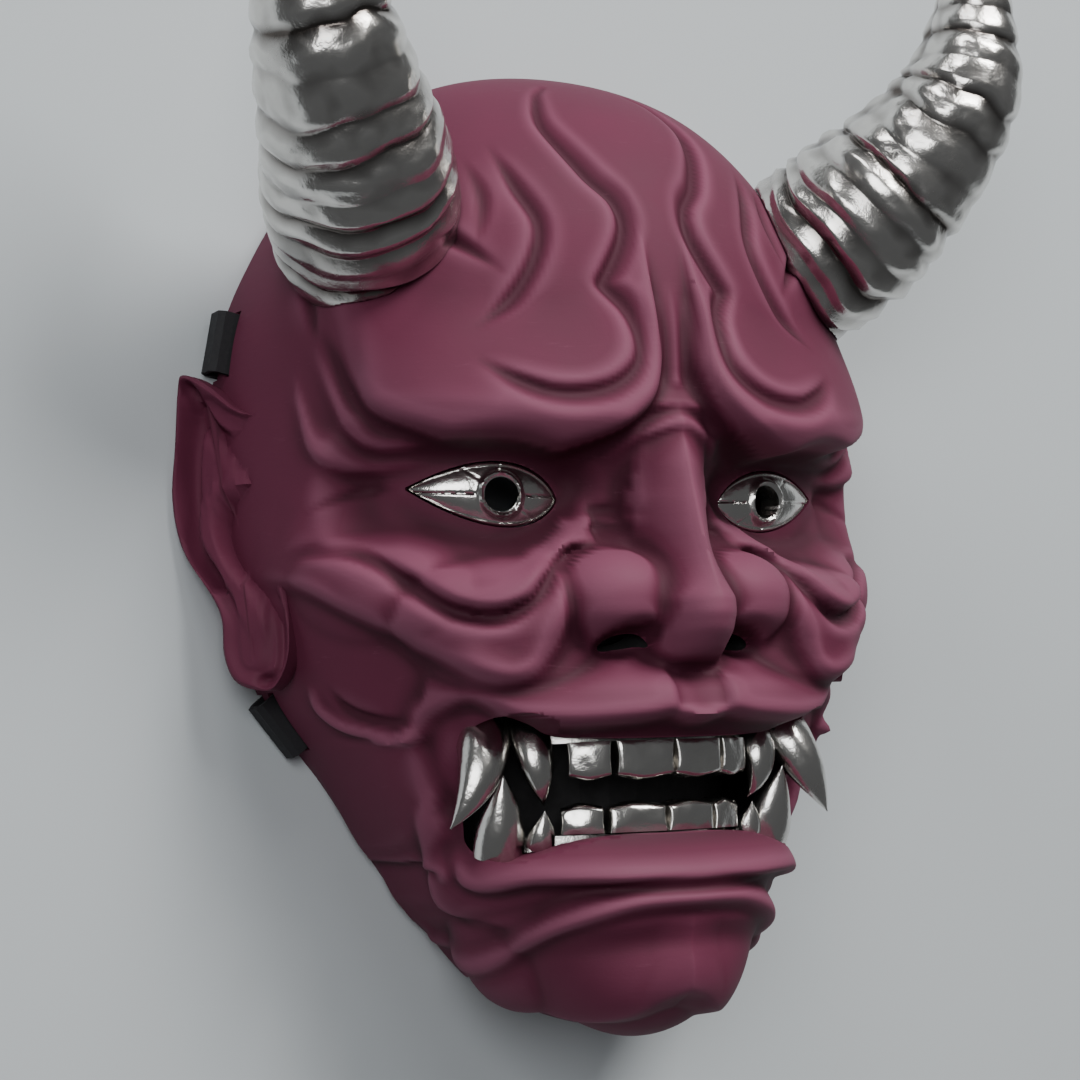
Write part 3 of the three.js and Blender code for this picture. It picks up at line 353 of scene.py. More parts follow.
mouthCarving = {
    "swell": {"above": (-30, -42), "below": (-98, -86), "halfWidth": 48, "height": 8},
    "hollow": {"above": (-46, -53), "below": (-82, -74), "side": (50, 42), "depth": 5},
    "philtrum": {"above": (-36, -39), "below": (-47, -45.5), "side": (7.5, 5.5), "depth": 2},
    "underLip": {"above": (-82, -86), "below": (-93, -88), "side": (42, 28), "depth": 1.5},
    "upperLip": {
        "points": [
            (54.8, -48.5, 2), (54, -45, 3), (50.3, -42.5, 4), (46.2, -41.6, 5), (42, -43.1, 5.5),
            (37.5, -45.5, 5.5), (30, -47.4, 5.5), (23.8, -47.9, 5.5), (14, -47, 5.5), (6.5, -45.7, 5.5),
            (0, -47.6, 5.5), (-6.5, -45.7, 5.5),
        ],
        "slope": 3.8, "fade": 13, "round": 0.2,
    },
    "lowerLip": {
        "points": [
            (46, -70, 1.5), (44, -74, 3), (42.1, -78, 3.8), (39.3, -81.4, 4), (36, -82.4, 4), (31, -81, 4),
            (23.2, -81.3, 4.2), (15, -82.1, 4.4), (5, -82.2, 4.4), (-5, -82.2, 4.4),
        ],
        "slope": 3.2, "fade": 9, "fadePower": 0.6, "round": 0.2,
    },
    "jawFold": {
        "points": [(50, -65, 0), (48, -71, 2), (45.1, -78.2, 3), (40.2, -86.2, 3.5), (36, -89.5, 2.5), (28, -91, 0)],
        "slope": 3, "fade": 8,
    },
    "corner": {
        "points": [(55.5, -50.5, 2.5), (51.3, -60, 3), (46.8, -71, 3), (43.2, -79, 2.5)],
        "slope": 4, "fade": 12, "across": "y",
    },
    "smileRidge": {
        "points": [(72, -37.5, 0), (69.5, -43, 1.8), (64.9, -47.7, 2.2), (60, -49.6, 2.4), (55, -50.2, 2.4)],
        "width": 2.4,
    },
    "smileGroove": {
        "lines": [[(70, -38, 0), (66.5, -43.5, 1), (62, -46.6, 1), (56, -47.8, 0.3)]],
        "left": 2, "right": 2, "depth": 1.6,
    },
}

chinCarving = {
    "crest": {
        "points": [(35, -99, 0.5), (30, -96.4, 2.5), (25, -91, 3), (16, -88, 3), (8, -87, 3), (-8, -87, 3)],
        "width": 4,
    },
    "ball": {"x": 0, "y": -106, "halfWidth": 36, "halfHeight": 24, "height": 9, "power": 0.9},
    "corner": {"x": 27, "y": -101, "halfWidth": 15, "halfHeight": 15, "height": 5, "power": 1},
    "plate": {
        "points": [
            (38, -95, 0.3), (31, -101, 1.8), (24.8, -105, 3), (18.7, -107.8, 3.4), (13.4, -109.2, 3.4),
            (8.6, -108.1, 3.2), (4.3, -105.8, 3), (-4, -103.3, 3),
        ],
        "slope": 4.5, "fade": 15, "round": 0.15,
    },
    "ridge": {"points": [(0, -90, 0), (0, -96, 1), (0, -103.5, 1.6), (0, -107, 0)], "width": 8, "sharp": 0.9},
}

foreheadCarving = {
    "wave": {
        "lines": [
            [
                (12, 106, 0.2), (17, 101.5, 0.5), (20.5, 92, 0.8), (15.5, 79, 1), (10, 71.5, 1), (10, 63.5, 1),
                (16.8, 51, 1),
            ],
            [
                (16.8, 51, 1), (12.3, 44, 1), (11, 36.5, 1), (13, 30.5, 1), (19.5, 25.7, 1), (29, 24.3, 1),
                (37, 27, 0.8), (46, 33, 0),
            ],
        ],
        "left": 2.6, "right": 4.6, "depth": 3.3,
    },
    "crescent": {
        "lines": [[(35, 87, 0), (32.5, 75, 0.9), (29.6, 65.3, 1), (32, 56.4, 1), (38, 47, 0.9), (46, 39, 0)]],
        "left": 2.2, "right": 3.8, "depth": 2.4,
    },
    "hornCrease": {
        "lines": [[(52, 66, 1), (46.7, 61.5, 1), (37.5, 52.3, 0)]],
        "left": 2.6, "right": 2.6, "depth": 2.6,
    },
    "templeCrease": {
        "lines": [[(73, 52, 1), (73.2, 46, 0.8), (73.3, 38, 0)]],
        "left": 2.2, "right": 2.2, "depth": 2,
    },
    "hornFold": {"lines": [[(41, 84, 0), (40, 72, 1), (43, 60, 0.2)]], "left": 1.4, "right": 3.2, "depth": 1.4},
}
frownRidge = {"points": [(0, 52, 0), (0, 42, 1), (0, 29, 1.4)], "width": 3}


def noseHeights(x, y):
    form, wing = noseCarving, noseCarving["wing"]
    height = np.interp(-y, [-v for v in form["stations"]], form["heights"])
    width = np.interp(-y, [-v for v in form["widthStations"]], form["widths"])
    q = np.clip(x / width, 0, 1)
    tip = smoothStep(*form["tip"], y)
    roof = (1 - q) * form["peaked"] + (1 - q * q) * (1 - form["peaked"])
    ridge = height * (roof * (1 - tip) + (1 - q * q) ** form["tipPower"] * tip)
    rise = np.where(y > wing["y"], wing["rise"], wing["drop"])
    inside = 1 - ((x - wing["x"]) / wing["halfWidth"]) ** 2 - ((y - wing["y"]) / rise) ** 2
    fade = 1 - wing["fadeShare"] * smoothStep(wing["fadeFrom"], wing["fadeTo"], y)
    ball = wing["height"] * np.sqrt(np.clip(inside, 0, 1)) * fade
    return smoothMaximum(ridge, ball, form["wingBlend"]) - form["sunk"]


eyeForm = {
    "inner": (25.2, 1.6), "outer": (59.8, 5), "halfHeight": 7, "innerPower": 0.72, "outerPower": 1.0,
    "sunk": [12.3, 10.4, 8.6, 7.6, 7],  # depth under the plain form, from the inner corner outwards
    "dome": 2, "thickness": 3.2, "hole": (39.4, 3), "holeRadius": 4, "ringRadius": 5.2, "ringRise": 0.9,
    "lidRise": 0.8, "lidFade": 8,
    "backing": 3.6,  # extra wall behind the eye
}


def almondHalfHeight(u):
    a, b = eyeForm["innerPower"], eyeForm["outerPower"]
    peak = a / (a + b)
    return eyeForm["halfHeight"] * (u**a * (1 - u) ** b) / (peak**a * (1 - peak) ** b)


def eyeSunk(u):
    return np.interp(u, np.linspace(0, 1, len(eyeForm["sunk"])), eyeForm["sunk"])


def beddedEye(patch, x, y):
    # the skin comes down level with the edge of the eye all round it
    inner, outer = eyeForm["inner"], eyeForm["outer"]
    length = outer[0] - inner[0]
    u = (x - inner[0]) / length
    middle = inner[1] + u * (outer[1] - inner[1])
    beyond = np.maximum(np.maximum(-u, u - 1), 0) * length
    over = np.maximum(np.abs(y - middle) - almondHalfHeight(np.clip(u, 0, 1)), 0)
    away = np.hypot(beyond, over)
    share = 1 - smoothStep(0.5, eyeForm["lidFade"], away)
    patch["height"] += share * (eyeForm["lidRise"] - eyeSunk(u) - patch["height"])
    return away


def carveHollow(patch, x, y, above, below, side, depth):
    # sinks what lies between two heights and inside a width, with soft edges
    patch["height"] -= depth * smoothStep(*above, y) * smoothStep(*below, y) * smoothStep(*side, x)


def carveFace(patch):
    x = np.abs(patch["spot"][:, 0])
    y = patch["spot"][:, 1]
    swell = mouthCarving["swell"]
    bowed = np.clip(1 - (x / swell["halfWidth"]) ** 2, 0, 1)
    patch["height"] += swell["height"] * smoothStep(*swell["above"], y) * smoothStep(*swell["below"], y) * bowed
    carveDeep(patch)
    for name in ("ball", "bone"):
        carveBump(patch, **cheekCarving[name])
    for name in ("plate", "underTier", "lidTier"):
        carveShelf(patch, **browCarving[name])
    carveChannel(patch, **browCarving["crowsFoot"])
    for name in ("lowTier", "topTier"):
        carveShelf(patch, **cheekCarving[name])
    carveChannel(patch, **cheekCarving["bandCrest"])
    nose = noseHeights(x, y)
    joined = smoothMaximum(patch["height"], nose, noseCarving["faceBlend"])
    patch["height"] = np.where(nose > 0, joined, patch["height"])
    carveBump(patch, **noseCarving["nostrilPit"])
    for name in ("upperFold", "lowerFold"):
        carveShelf(patch, **noseCarving[name])
    carveChannel(patch, **noseCarving["tearFolds"])
    carveShelf(patch, **mouthCarving["upperLip"])
    carveHollow(patch, x, y, **mouthCarving["hollow"])
    for name in ("lowerLip", "jawFold", "corner"):
        carveShelf(patch, **mouthCarving[name])
    carveRidge(patch, **mouthCarving["smileRidge"])
    carveChannel(patch, **mouthCarving["smileGroove"])
    for name in ("philtrum", "underLip"):
        carveHollow(patch, x, y, **mouthCarving[name])
    carveRidge(patch, **chinCarving["crest"])
    for name in ("ball", "corner"):
        carveBump(patch, **chinCarving[name])
    carveShelf(patch, **chinCarving["plate"])
    carveRidge(patch, **chinCarving["ridge"])
    for groove in foreheadCarving.values():
        carveChannel(patch, **groove)
    carveRidge(patch, **frownRidge)
    beddedEye(patch, x, y)


# Mesh helpers. A sheet is a grid whose vertices go to an array of places, [row, column, xyz].
weldDistance = 1e-4
mirror = Matrix.Diagonal((-1, 1, 1, 1))
mirrorRow = np.array([-1, 1, 1])


def sheetFromGrid(places):
    rows, columns = places.shape[0] - 1, places.shape[1] - 1
    bm = bmesh.new()
    bmesh.ops.create_grid(bm, x_segments=columns, y_segments=rows, size=1)
    flat = np.array([v.co[:2] for v in bm.verts])
    i = np.rint((flat[:, 1] + 1) / 2 * rows).astype(int)
    j = np.rint((flat[:, 0] + 1) / 2 * columns).astype(int)
    for vertex, place in zip(bm.verts, places[i, j].tolist()):
        vertex.co = place
    return bm, i, j


def closeHoles(bm):
    bmesh.ops.holes_fill(bm, edges=[e for e in bm.edges if e.is_boundary], sides=0)
    bmesh.ops.recalc_face_normals(bm, faces=bm.faces)


def closeSheet(bm):
    bmesh.ops.remove_doubles(bm, verts=bm.verts, dist=weldDistance)
    bmesh.ops.dissolve_degenerate(bm, edges=bm.edges, dist=weldDistance)
    closeHoles(bm)


def onlyVertices(geometry):
    return [g for g in geometry if isinstance(g, bmesh.types.BMVert)]


def setAttribute(bm, name, i, j, grid):
    layer = bm.verts.layers.float.new(name)
    for vertex, value in zip(bm.verts, grid[i, j].tolist()):
        vertex[layer] = value


def loftRings(rings, paintedShade=None):
    # closed solid over an array of rings, [ring, point, xyz]
    bm, i, j = sheetFromGrid(np.concatenate([rings, rings[:, :1]], 1))
    if paintedShade is not None:
        setAttribute(bm, "paintedShade", i, j, np.concatenate([paintedShade, paintedShade[:, :1]], 1))
    closeSheet(bm)
    return bm


def addObject(name, data):
    thing = bpy.data.objects.new(name, data)
    bpy.context.scene.collection.objects.link(thing)
    return thing


def makePiece(name, bm, materials, index=0):
    for face in bm.faces:
        face.smooth = True
        face.material_index = index
    mesh = bpy.data.meshes.new(name)
    bm.to_mesh(mesh)
    bm.free()
    for material in materials:
        mesh.materials.append(material)
    return addObject(name, mesh)


def mirrorMesh(mesh):
    mesh.transform(mirror)
    mesh.flip_normals()
    return mesh


def bakeModifiers(piece):
    depsgraph = bpy.context.evaluated_depsgraph_get()
    evaluated = piece.evaluated_get(depsgraph)
    mesh = bpy.data.meshes.new_from_object(evaluated, preserve_all_data_layers=True, depsgraph=depsgraph)
    piece.modifiers.clear()
    piece.data = mesh


def vertexPlaces(mesh):
    flat = np.empty(3 * len(mesh.vertices), np.float32)
    mesh.vertices.foreach_get("co", flat)
    return flat.reshape(-1, 3)


keptWithin = 0.3  # a vertex keeps its wear and painted shade if one of the old vertices is this near


def keepAttributes(piece, before, places):
    # cuts and joins drop the wear and painted shade values, so each vertex that stayed gets its own back
    tree = KDTree(len(places))
    for k, place in enumerate(places):
        tree.insert(place, k)
    tree.balance()
    found = [tree.find(place)[1:] for place in vertexPlaces(piece.data)]
    for name, values in before.items():
        if name in piece.data.attributes:
            piece.data.attributes.remove(piece.data.attributes[name])
        layer = piece.data.attributes.new(name, "FLOAT", "POINT")
        layer.data.foreach_set("value", [values[k] if away < keptWithin else 0 for k, away in found])


def combine(piece, others, operation="DIFFERENCE"):
    before = {}
    for name in ("wear", "paintedShade"):
        if name in piece.data.attributes:
            before[name] = [v.value for v in piece.data.attributes[name].data]
    places = vertexPlaces(piece.data)
    for other in others:
        change = piece.modifiers.new(other.name, "BOOLEAN")
        change.operation = operation
        change.solver = "MANIFOLD"
        change.object = other
    bakeModifiers(piece)
    if before:
        keepAttributes(piece, before, places)
    for other in others:
        bpy.data.objects.remove(other)


def settle(piece, angle=None):
    # brings a piece from working millimetres to its place in metres, with sharp edges past an angle
    piece.data.transform(Matrix.Scale(millimetre, 4) @ Matrix.Translation((0, shiftY, 0)))
    if angle is not None:
        bm = bmesh.new()
        bm.from_mesh(piece.data)
        for edge in [e for e in bm.edges if e.is_manifold]:
            one, other = edge.link_faces
            if edge.calc_face_angle(0) > angle or one.material_index != other.material_index:
                edge.smooth = False
        bm.to_mesh(piece.data)
        bm.free()
    return piece


# Materials. Each helper adds a node to a material's tree and gives back its output.
def newMaterial(name):
    material = bpy.data.materials.new(name)
    material.use_nodes = True
    return material, material.node_tree, material.node_tree.nodes["Principled BSDF"].inputs


def objectNoise(tree, scale, detail, stretch=(1, 1, 1), roughness=0.55):
    place = tree.nodes.new("ShaderNodeTexCoord")
    mapping = tree.nodes.new("ShaderNodeMapping")
    mapping.inputs["Scale"].default_value = stretch
    texture = tree.nodes.new("ShaderNodeTexNoise")
    texture.inputs["Scale"].default_value = scale
    texture.inputs["Detail"].default_value = detail
    texture.inputs["Roughness"].default_value = roughness
    tree.links.new(place.outputs["Object"], mapping.inputs["Vector"])
    tree.links.new(mapping.outputs["Vector"], texture.inputs["Vector"])
    return texture.outputs["Fac"]


def greyRamp(tree, source, places, values):
    node = tree.nodes.new("ShaderNodeValToRGB")
    for element, place, value in zip(node.color_ramp.elements, places, values):
        element.position = place
        element.color = (value, value, value, 1)
    tree.links.new(source, node.inputs["Fac"])
    return node.outputs["Color"]


def blendColours(tree, share, first, second):
    node = tree.nodes.new("ShaderNodeMix")
    node.data_type = "RGBA"
    tree.links.new(share, node.inputs["Factor"])
    for socket, value in ((node.inputs["A"], first), (node.inputs["B"], second)):
        if isinstance(value, tuple):
            socket.default_value = (*value, 1)
        else:
            tree.links.new(value, socket)
    return node.outputs["Result"]


def addBump(tree, shader, source, strength, distance, before=None):
    bump = tree.nodes.new("ShaderNodeBump")
    bump.inputs["Strength"].default_value = strength
    bump.inputs["Distance"].default_value = distance
    tree.links.new(source, bump.inputs["Height"])
    if before is not None:
        tree.links.new(before, bump.inputs["Normal"])
    tree.links.new(bump.outputs["Normal"], shader["Normal"])
    return bump.outputs["Normal"]


def readAttribute(tree, name):
    node = tree.nodes.new("ShaderNodeAttribute")
    node.attribute_name = name
    return node.outputs["Fac"]


def shaded(colour, share):
    return tuple(share * c for c in colour)


# deep is a darker copy of the lacquer colour, laid into the grooves as painted shade
lacquerLook = {
    "colour": (0.122, 0.0215, 0.050), "deep": (0.045, 0.007, 0.017), "worn": (0.25, 0.080, 0.135),
    "darker": 0.9, "lighter": 1.08, "roughness": (0.60, 0.74), "specular": 0.25,
    "clouds": {"scale": 28, "detail": 5}, "cloudEdges": (0.3, 0.7),
    "speckle": {"scale": 900, "detail": 3, "roughness": 0.7}, "speckleBump": (0.12, 0.0002),
    "scratches": {"scale": 60, "detail": 6, "stretch": (1.2, 9, 2.5), "roughness": 0.75},
    "scratchEdges": (0.62, 0.75), "scratchShare": 0.22, "scratchBump": (0.15, 0.0003),
    "wearAndShadeEdges": (0.05, 0.9), "wearShare": 0.6, "paintedShadeShare": 0.75,
}


def makeLacquer():
    material, tree, shader = newMaterial("maroonLacquer")
    look = lacquerLook
    clouds = objectNoise(tree, **look["clouds"])
    speckle = objectNoise(tree, **look["speckle"])
    scratches = objectNoise(tree, **look["scratches"])
    dark, light = shaded(look["colour"], look["darker"]), shaded(look["colour"], look["lighter"])
    colour = blendColours(tree, greyRamp(tree, clouds, look["cloudEdges"], (0, 1)), dark, light)
    # wear puts the worn colour on raised edges, the second layer paints shade into the grooves with the deep colour,
    # and scratches add worn colour
    for source, edges, share, layer in (
        (readAttribute(tree, "wear"), look["wearAndShadeEdges"], look["wearShare"], look["worn"]),
        (readAttribute(tree, "paintedShade"), look["wearAndShadeEdges"], look["paintedShadeShare"], look["deep"]),
        (scratches, look["scratchEdges"], look["scratchShare"], look["worn"]),
    ):
        colour = blendColours(tree, greyRamp(tree, source, edges, (0, share)), colour, layer)
    tree.links.new(colour, shader["Base Color"])
    tree.links.new(greyRamp(tree, clouds, look["cloudEdges"], look["roughness"]), shader["Roughness"])
    shader["Specular IOR Level"].default_value = look["specular"]
    fine = addBump(tree, shader, speckle, *look["speckleBump"])
    addBump(tree, shader, scratches, *look["scratchBump"], fine)
    return material


plainBlackLook = {"darker": 0.6, "detail": 4, "edges": (0.3, 0.7), "roughnessSpread": 0.08, "bump": 0.3}


def makePlainBlack(name, colour, roughness, grain, depth):
    material, tree, shader = newMaterial(name)
    look = plainBlackLook
    texture = objectNoise(tree, grain, look["detail"])
    spread = (roughness - look["roughnessSpread"], roughness + look["roughnessSpread"])
    tree.links.new(blendColours(tree, texture, shaded(colour, look["darker"]), colour), shader["Base Color"])
    tree.links.new(greyRamp(tree, texture, look["edges"], spread), shader["Roughness"])
    addBump(tree, shader, texture, look["bump"], depth)
    return material


# the dark stain colour is painted shade for the horn ring grooves and crease and the eye seams
silverLook = {
    "colour": (0.74, 0.72, 0.69), "darker": 0.82, "paintedShadeColour": (0.055, 0.04, 0.034), "roughness": (0.13, 0.32),
    "clouds": {"scale": 70, "detail": 6, "roughness": 0.65}, "cloudEdges": (0.35, 0.75), "cloudBump": (0.35, 0.0012),
    "streaks": {"scale": 120, "detail": 5, "stretch": (1, 0.25, 1), "roughness": 0.6}, "streakBump": (0.18, 0.0004),
    "paintedShadeEdges": (0.1, 0.85), "paintedShadeStrength": 0.9, "roughnessEdges": (0.3, 0.75),
}


def makeSilver():
    material, tree, shader = newMaterial("wornSilver")
    look = silverLook
    clouds = objectNoise(tree, **look["clouds"])
    streaks = objectNoise(tree, **look["streaks"])
    cloudy = greyRamp(tree, clouds, look["cloudEdges"], (0, 1))
    colour = blendColours(tree, cloudy, look["colour"], shaded(look["colour"], look["darker"]))
    # grooves and seams are darkened with painted shade
    paintedShadeMask = greyRamp(tree, readAttribute(tree, "paintedShade"), look["paintedShadeEdges"], (0, look["paintedShadeStrength"]))
    tree.links.new(blendColours(tree, paintedShadeMask, colour, look["paintedShadeColour"]), shader["Base Color"])
    shader["Metallic"].default_value = 1
    tree.links.new(greyRamp(tree, clouds, look["roughnessEdges"], look["roughness"]), shader["Roughness"])
    soft = addBump(tree, shader, clouds, *look["cloudBump"])
    addBump(tree, shader, streaks, *look["streakBump"], soft)
    return material


lacquer = makeLacquer()
# matt black for the inside of the shell, the nostrils and the mouth backing: partly a black inner finish, partly
# painted shade inside the mask
blackLiningAndShade = makePlainBlack("mattBlackLiningAndShade", (0.012, 0.011, 0.012), 0.8, 300, 0.0003)
silver = makeSilver()
elastic = makePlainBlack("blackElastic", (0.016, 0.015, 0.018), 0.75, 900, 0.0002)
shellLooks = [lacquer, blackLiningAndShade]
print("materials made")


# Face shell
blurWeights = (0.0625, 0.25, 0.375, 0.25, 0.0625)


def faceGrid(rows, halfColumns, power, margin=0):
    along = np.linspace(margin, lastSection - margin, rows + 1)
    turn = math.pi / 2 * (np.arange(halfColumns + 1) / halfColumns) ** power
    return np.meshgrid(along, turn, indexing="ij")


def blur(grid, passes):
    # binomial filter over a half sheet: mirrored at the middle line, held at the other edges
    for _ in range(passes):
        wide = np.concatenate([grid[:, 2:0:-1], grid, grid[:, -1:], grid[:, -1:]], 1)
        grid = sum(w * wide[:, k:k + grid.shape[1]] for k, w in enumerate(blurWeights))
        tall = np.concatenate([grid[:1], grid[:1], grid, grid[-1:], grid[-1:]], 0)
        grid = sum(w * tall[k:k + grid.shape[0]] for k, w in enumerate(blurWeights))
    return grid


def bothHalves(grid, mirrored):
    return np.concatenate([grid[:, :0:-1] * mirrored, grid], 1)


def faceHeights():
    # heights are worked out on a sheet twice as fine and filtered, so edges stay clean
    rows, half = faceForm["rows"], faceForm["halfColumns"]
    alongs, turns = faceGrid(2 * rows, 2 * half, faceForm["columnPower"])
    patch = newPatch(alongs.ravel(), turns.ravel())
    carveFace(patch)
    return blur(patch["height"].reshape(alongs.shape), 1)[::2, ::2]


def outerFace(heights, extra=0.0):
    alongs, turns = faceGrid(faceForm["rows"], faceForm["halfColumns"], faceForm["columnPower"])
    patch = newPatch(alongs.ravel(), turns.ravel())
    kept = smoothStep(0, faceForm["flushHeight"], patch["spot"][:, 2])
    places = patch["spot"] + patch["normal"] * (heights.ravel() * kept + extra)[:, None]
    places = places.reshape(*alongs.shape, 3)
    places[:, -1, 2] = 0
    places[..., 2] = np.maximum(places[..., 2], 0)
    for end in (0, -1):
        places[end] = patch["spot"].reshape(places.shape)[end]
    return bothHalves(places, mirrorRow)


cavityForm = {
    "rows": 60, "halfColumns": 24, "columnPower": 1.12, "margin": 0.32, "openBelow": -3,
    "follow": 0.8,  # share of the deep carving that the hollow follows
    "eyeFade": (4, 14),  # the thicker wall behind the eyes ends this far from them
}


def cavityCutter():
    form = cavityForm
    alongs, turns = faceGrid(form["rows"], form["halfColumns"], form["columnPower"], form["margin"])
    patch = newPatch(alongs.ravel(), turns.ravel())
    carveDeep(patch)
    deep = patch["height"].copy()
    away = beddedEye(patch, np.abs(patch["spot"][:, 0]), patch["spot"][:, 1])
    thicker = eyeForm["backing"] * (1 - smoothStep(*form["eyeFade"], away))
    deep = form["follow"] * deep - faceForm["wall"] - thicker
    places = (patch["spot"] + patch["normal"] * deep[:, None]).reshape(*alongs.shape, 3)
    places[:, -1, 2] = 0
    bm = sheetFromGrid(bothHalves(places, mirrorRow))[0]
    bmesh.ops.remove_doubles(bm, verts=bm.verts, dist=weldDistance)
    lowered = bmesh.ops.extrude_edge_only(bm, edges=[e for e in bm.edges if e.is_boundary])["geom"]
    for vertex in onlyVertices(lowered):
        vertex.co.z = form["openBelow"]
    closeHoles(bm)
    # the inside of the shell takes the matt black lining, which also stands in for shade
    return makePiece("cavity", bm, shellLooks, 1)


mouthForm = {
    "outline": [
        (0, -53), (17, -52.8), (28, -51.8), (33, -49), (39, -46.8), (43.6, -48), (46.6, -52), (45.8, -60),
        (44, -70), (43, -76), (41, -79), (37, -79.8), (32, -78.4), (22, -75.6), (12, -74.6), (0, -74.6),
    ],
    "from": 15, "to": 100,
}


def mouthCutter():
    half = smoothLine([(x, y, 0) for x, y in mouthForm["outline"]], 4)[:, :2].tolist()
    outline = half + [(-x, y) for x, y in half[1:-1]][::-1]
    bm = bmesh.new()
    face = bm.faces.new([bm.verts.new((x, y, mouthForm["from"])) for x, y in outline])
    lifted = bmesh.ops.extrude_face_region(bm, geom=[face])["geom"]
    lift = (0, 0, mouthForm["to"] - mouthForm["from"])
    bmesh.ops.translate(bm, verts=onlyVertices(lifted), vec=lift)
    bmesh.ops.recalc_face_normals(bm, faces=bm.faces)
    return makePiece("mouthHole", bm, shellLooks)


def rodCutter(name, at, direction, radii, low, high, sides=48, turn=0, index=0):
    bm = bmesh.new()
    lean = Vector((0, 0, 1)).rotation_difference(Vector(direction)).to_matrix().to_4x4()
    place = Matrix.Translation(Vector(at)) @ lean @ Matrix.Rotation(turn, 4, "Z")
    place = place @ Matrix.Translation((0, 0, (low + high) / 2)) @ Matrix.Diagonal((*radii, 1, 1))
    bmesh.ops.create_cone(bm, cap_ends=True, segments=sides, radius1=1, radius2=1, depth=high - low, matrix=place)
    return makePiece(name, bm, shellLooks, index)


def almondSpot(u, v, height, margin):
    inner, outer = eyeForm["inner"], eyeForm["outer"]
    x = inner[0] - margin + u * (outer[0] - inner[0] + 2 * margin)
    middle = inner[1] + u * (outer[1] - inner[1])
    return spotOnForm(x, middle + v * (almondHalfHeight(u) + margin), height)


def almondSteps(lengthSteps, widthSteps):
    us = 0.5 - 0.5 * np.cos(np.linspace(0, math.pi, lengthSteps + 1))
    return us, np.sin(np.linspace(-math.pi / 2, math.pi / 2, widthSteps + 1))


eyeCut = {"bottom": -30, "top": 4, "lengthSteps": 40, "widthSteps": 14}


def almondCutter():
    # slab over the almond, between two heights over the plain form
    us, vs = almondSteps(eyeCut["lengthSteps"], eyeCut["widthSteps"])
    rings = []
    for u in us:
        upper = [almondSpot(u, v, eyeCut["top"], faceForm["gap"]) for v in vs]
        rings.append(upper + [almondSpot(u, v, eyeCut["bottom"], faceForm["gap"]) for v in vs[::-1]])
    return makePiece("almond", loftRings(np.array(rings)), shellLooks)


# each strap passes through a slot, and under the rim through a notch
slotForm = {"width": 16.5, "reach": 9, "slot": (5.6, 8.4), "notch": (-1, 2.4)}
strapPlaces = {
    "upper": {"at": (82.9, 44), "inward": (-0.98, -0.2)},
    "lower": {"at": (70.6, -46), "inward": (-0.78, 0.62)},
}


def slotCutter(place, bottom, top, flip):
    inward = Vector((*place["inward"], 0)).normalized()
    across = Vector((-inward.y, inward.x, 0))
    turn = Matrix((inward, across, (0, 0, 1))).transposed().to_4x4()
    size = Matrix.Diagonal((2 * slotForm["reach"], slotForm["width"], top - bottom, 1))
    matrix = Matrix.Translation((*place["at"], 0)) @ turn @ Matrix.Translation((0, 0, (top + bottom) / 2)) @ size
    bm = bmesh.new()
    bmesh.ops.create_cube(bm, size=1, matrix=mirror @ matrix if flip else matrix)
    bmesh.ops.recalc_face_normals(bm, faces=bm.faces)
    return makePiece("slot", bm, shellLooks)


earForm = {
    "outline": [
        (-2, 22), (2, 24.5), (8, 27.5), (15.5, 33.5), (22, 36.5), (23.5, 33), (24.6, 20), (25.7, 7), (23, -5),
        (15.5, -16), (12.8, -22), (12.4, -30), (9.8, -36), (4.3, -38.5), (-1, -38), (-5, -30), (-4.5, -16),
        (-2, -8), (-1, 6),
    ],
    "front": (81.5, 22), "back": (96, 1.5), "spread": {"right": 1, "left": 0.955},
    "spine": {"up": [-38, -16, 6, 36], "backwards": [3.5, 6, 11, 18], "ends": (-32, 30)},
    "behind": [(0.03, -7), (0.6, -7), (0.94, -7), (1, -5.8), (1, -3.5), (1, -1.4)],  # share of the outline, height
    "steps": 5, "loops": 40, "least": 0.03,
    "base": -2, "rim": {"width": 1.2, "depth": 0.9}, "roll": {"width": 4.6, "height": 2},
    "frontSunk": {"above": (-16, -8), "below": (30, 24), "within": (0, 6), "depth": 5},
}


def earMatrix(side):
    front = Vector((earForm["front"][0], 0, earForm["front"][1]))
    back = Vector((earForm["back"][0] * earForm["spread"][side], 0, earForm["back"][1]))
    backwards = (back - front).normalized()
    up = Vector((0, 1, 0))
    out = backwards.cross(up).normalized()
    return Matrix.Translation(front) @ Matrix((backwards, up, out)).transposed().to_4x4()


# lines of the ear in its own plane, millimetres [backwards, up]
earCarving = {
    "helixEdge": {
        "points": [(21.2, 32.8), (15.6, 23.5), (9.8, 18.9), (4.3, 15), (-1.4, 10.2)], "width": 2.8, "height": -3,
    },
    "scapha": {
        "points": [(19.7, 27), (21, 18), (21.4, 8.3), (19.9, -4.4), (14.5, -13)], "width": 3.4, "height": -4.6,
    },
    "antihelix": {
        "points": [(1.4, 9), (10.7, 9.5), (15.5, 4.5), (16.2, -2.3), (12.6, -8.9), (7.5, -15.6), (3, -22.9)],
        "width": 3.6, "height": 2.6,
    },
    "concha": {
        "points": [(0.9, 4.5), (8, 1.4), (9.6, -3.7), (6.5, -8.9), (2.3, -11.1)], "width": 4.6, "height": -4.6,
    },
    "tragus": {"points": [(-0.5, -1.5), (1.5, -4.6), (0, -8)], "width": 2.8, "height": 3.2},
    "lobeEdge": {
        "points": [(2.3, -13), (-2.5, -21), (-3.4, -28.9), (-2.4, -35.5), (1.6, -37)], "width": 2.4, "height": -2.2,
    },
    "lobe": {"points": [(5.5, -22), (5, -31)], "width": 7, "height": 1.6},
}


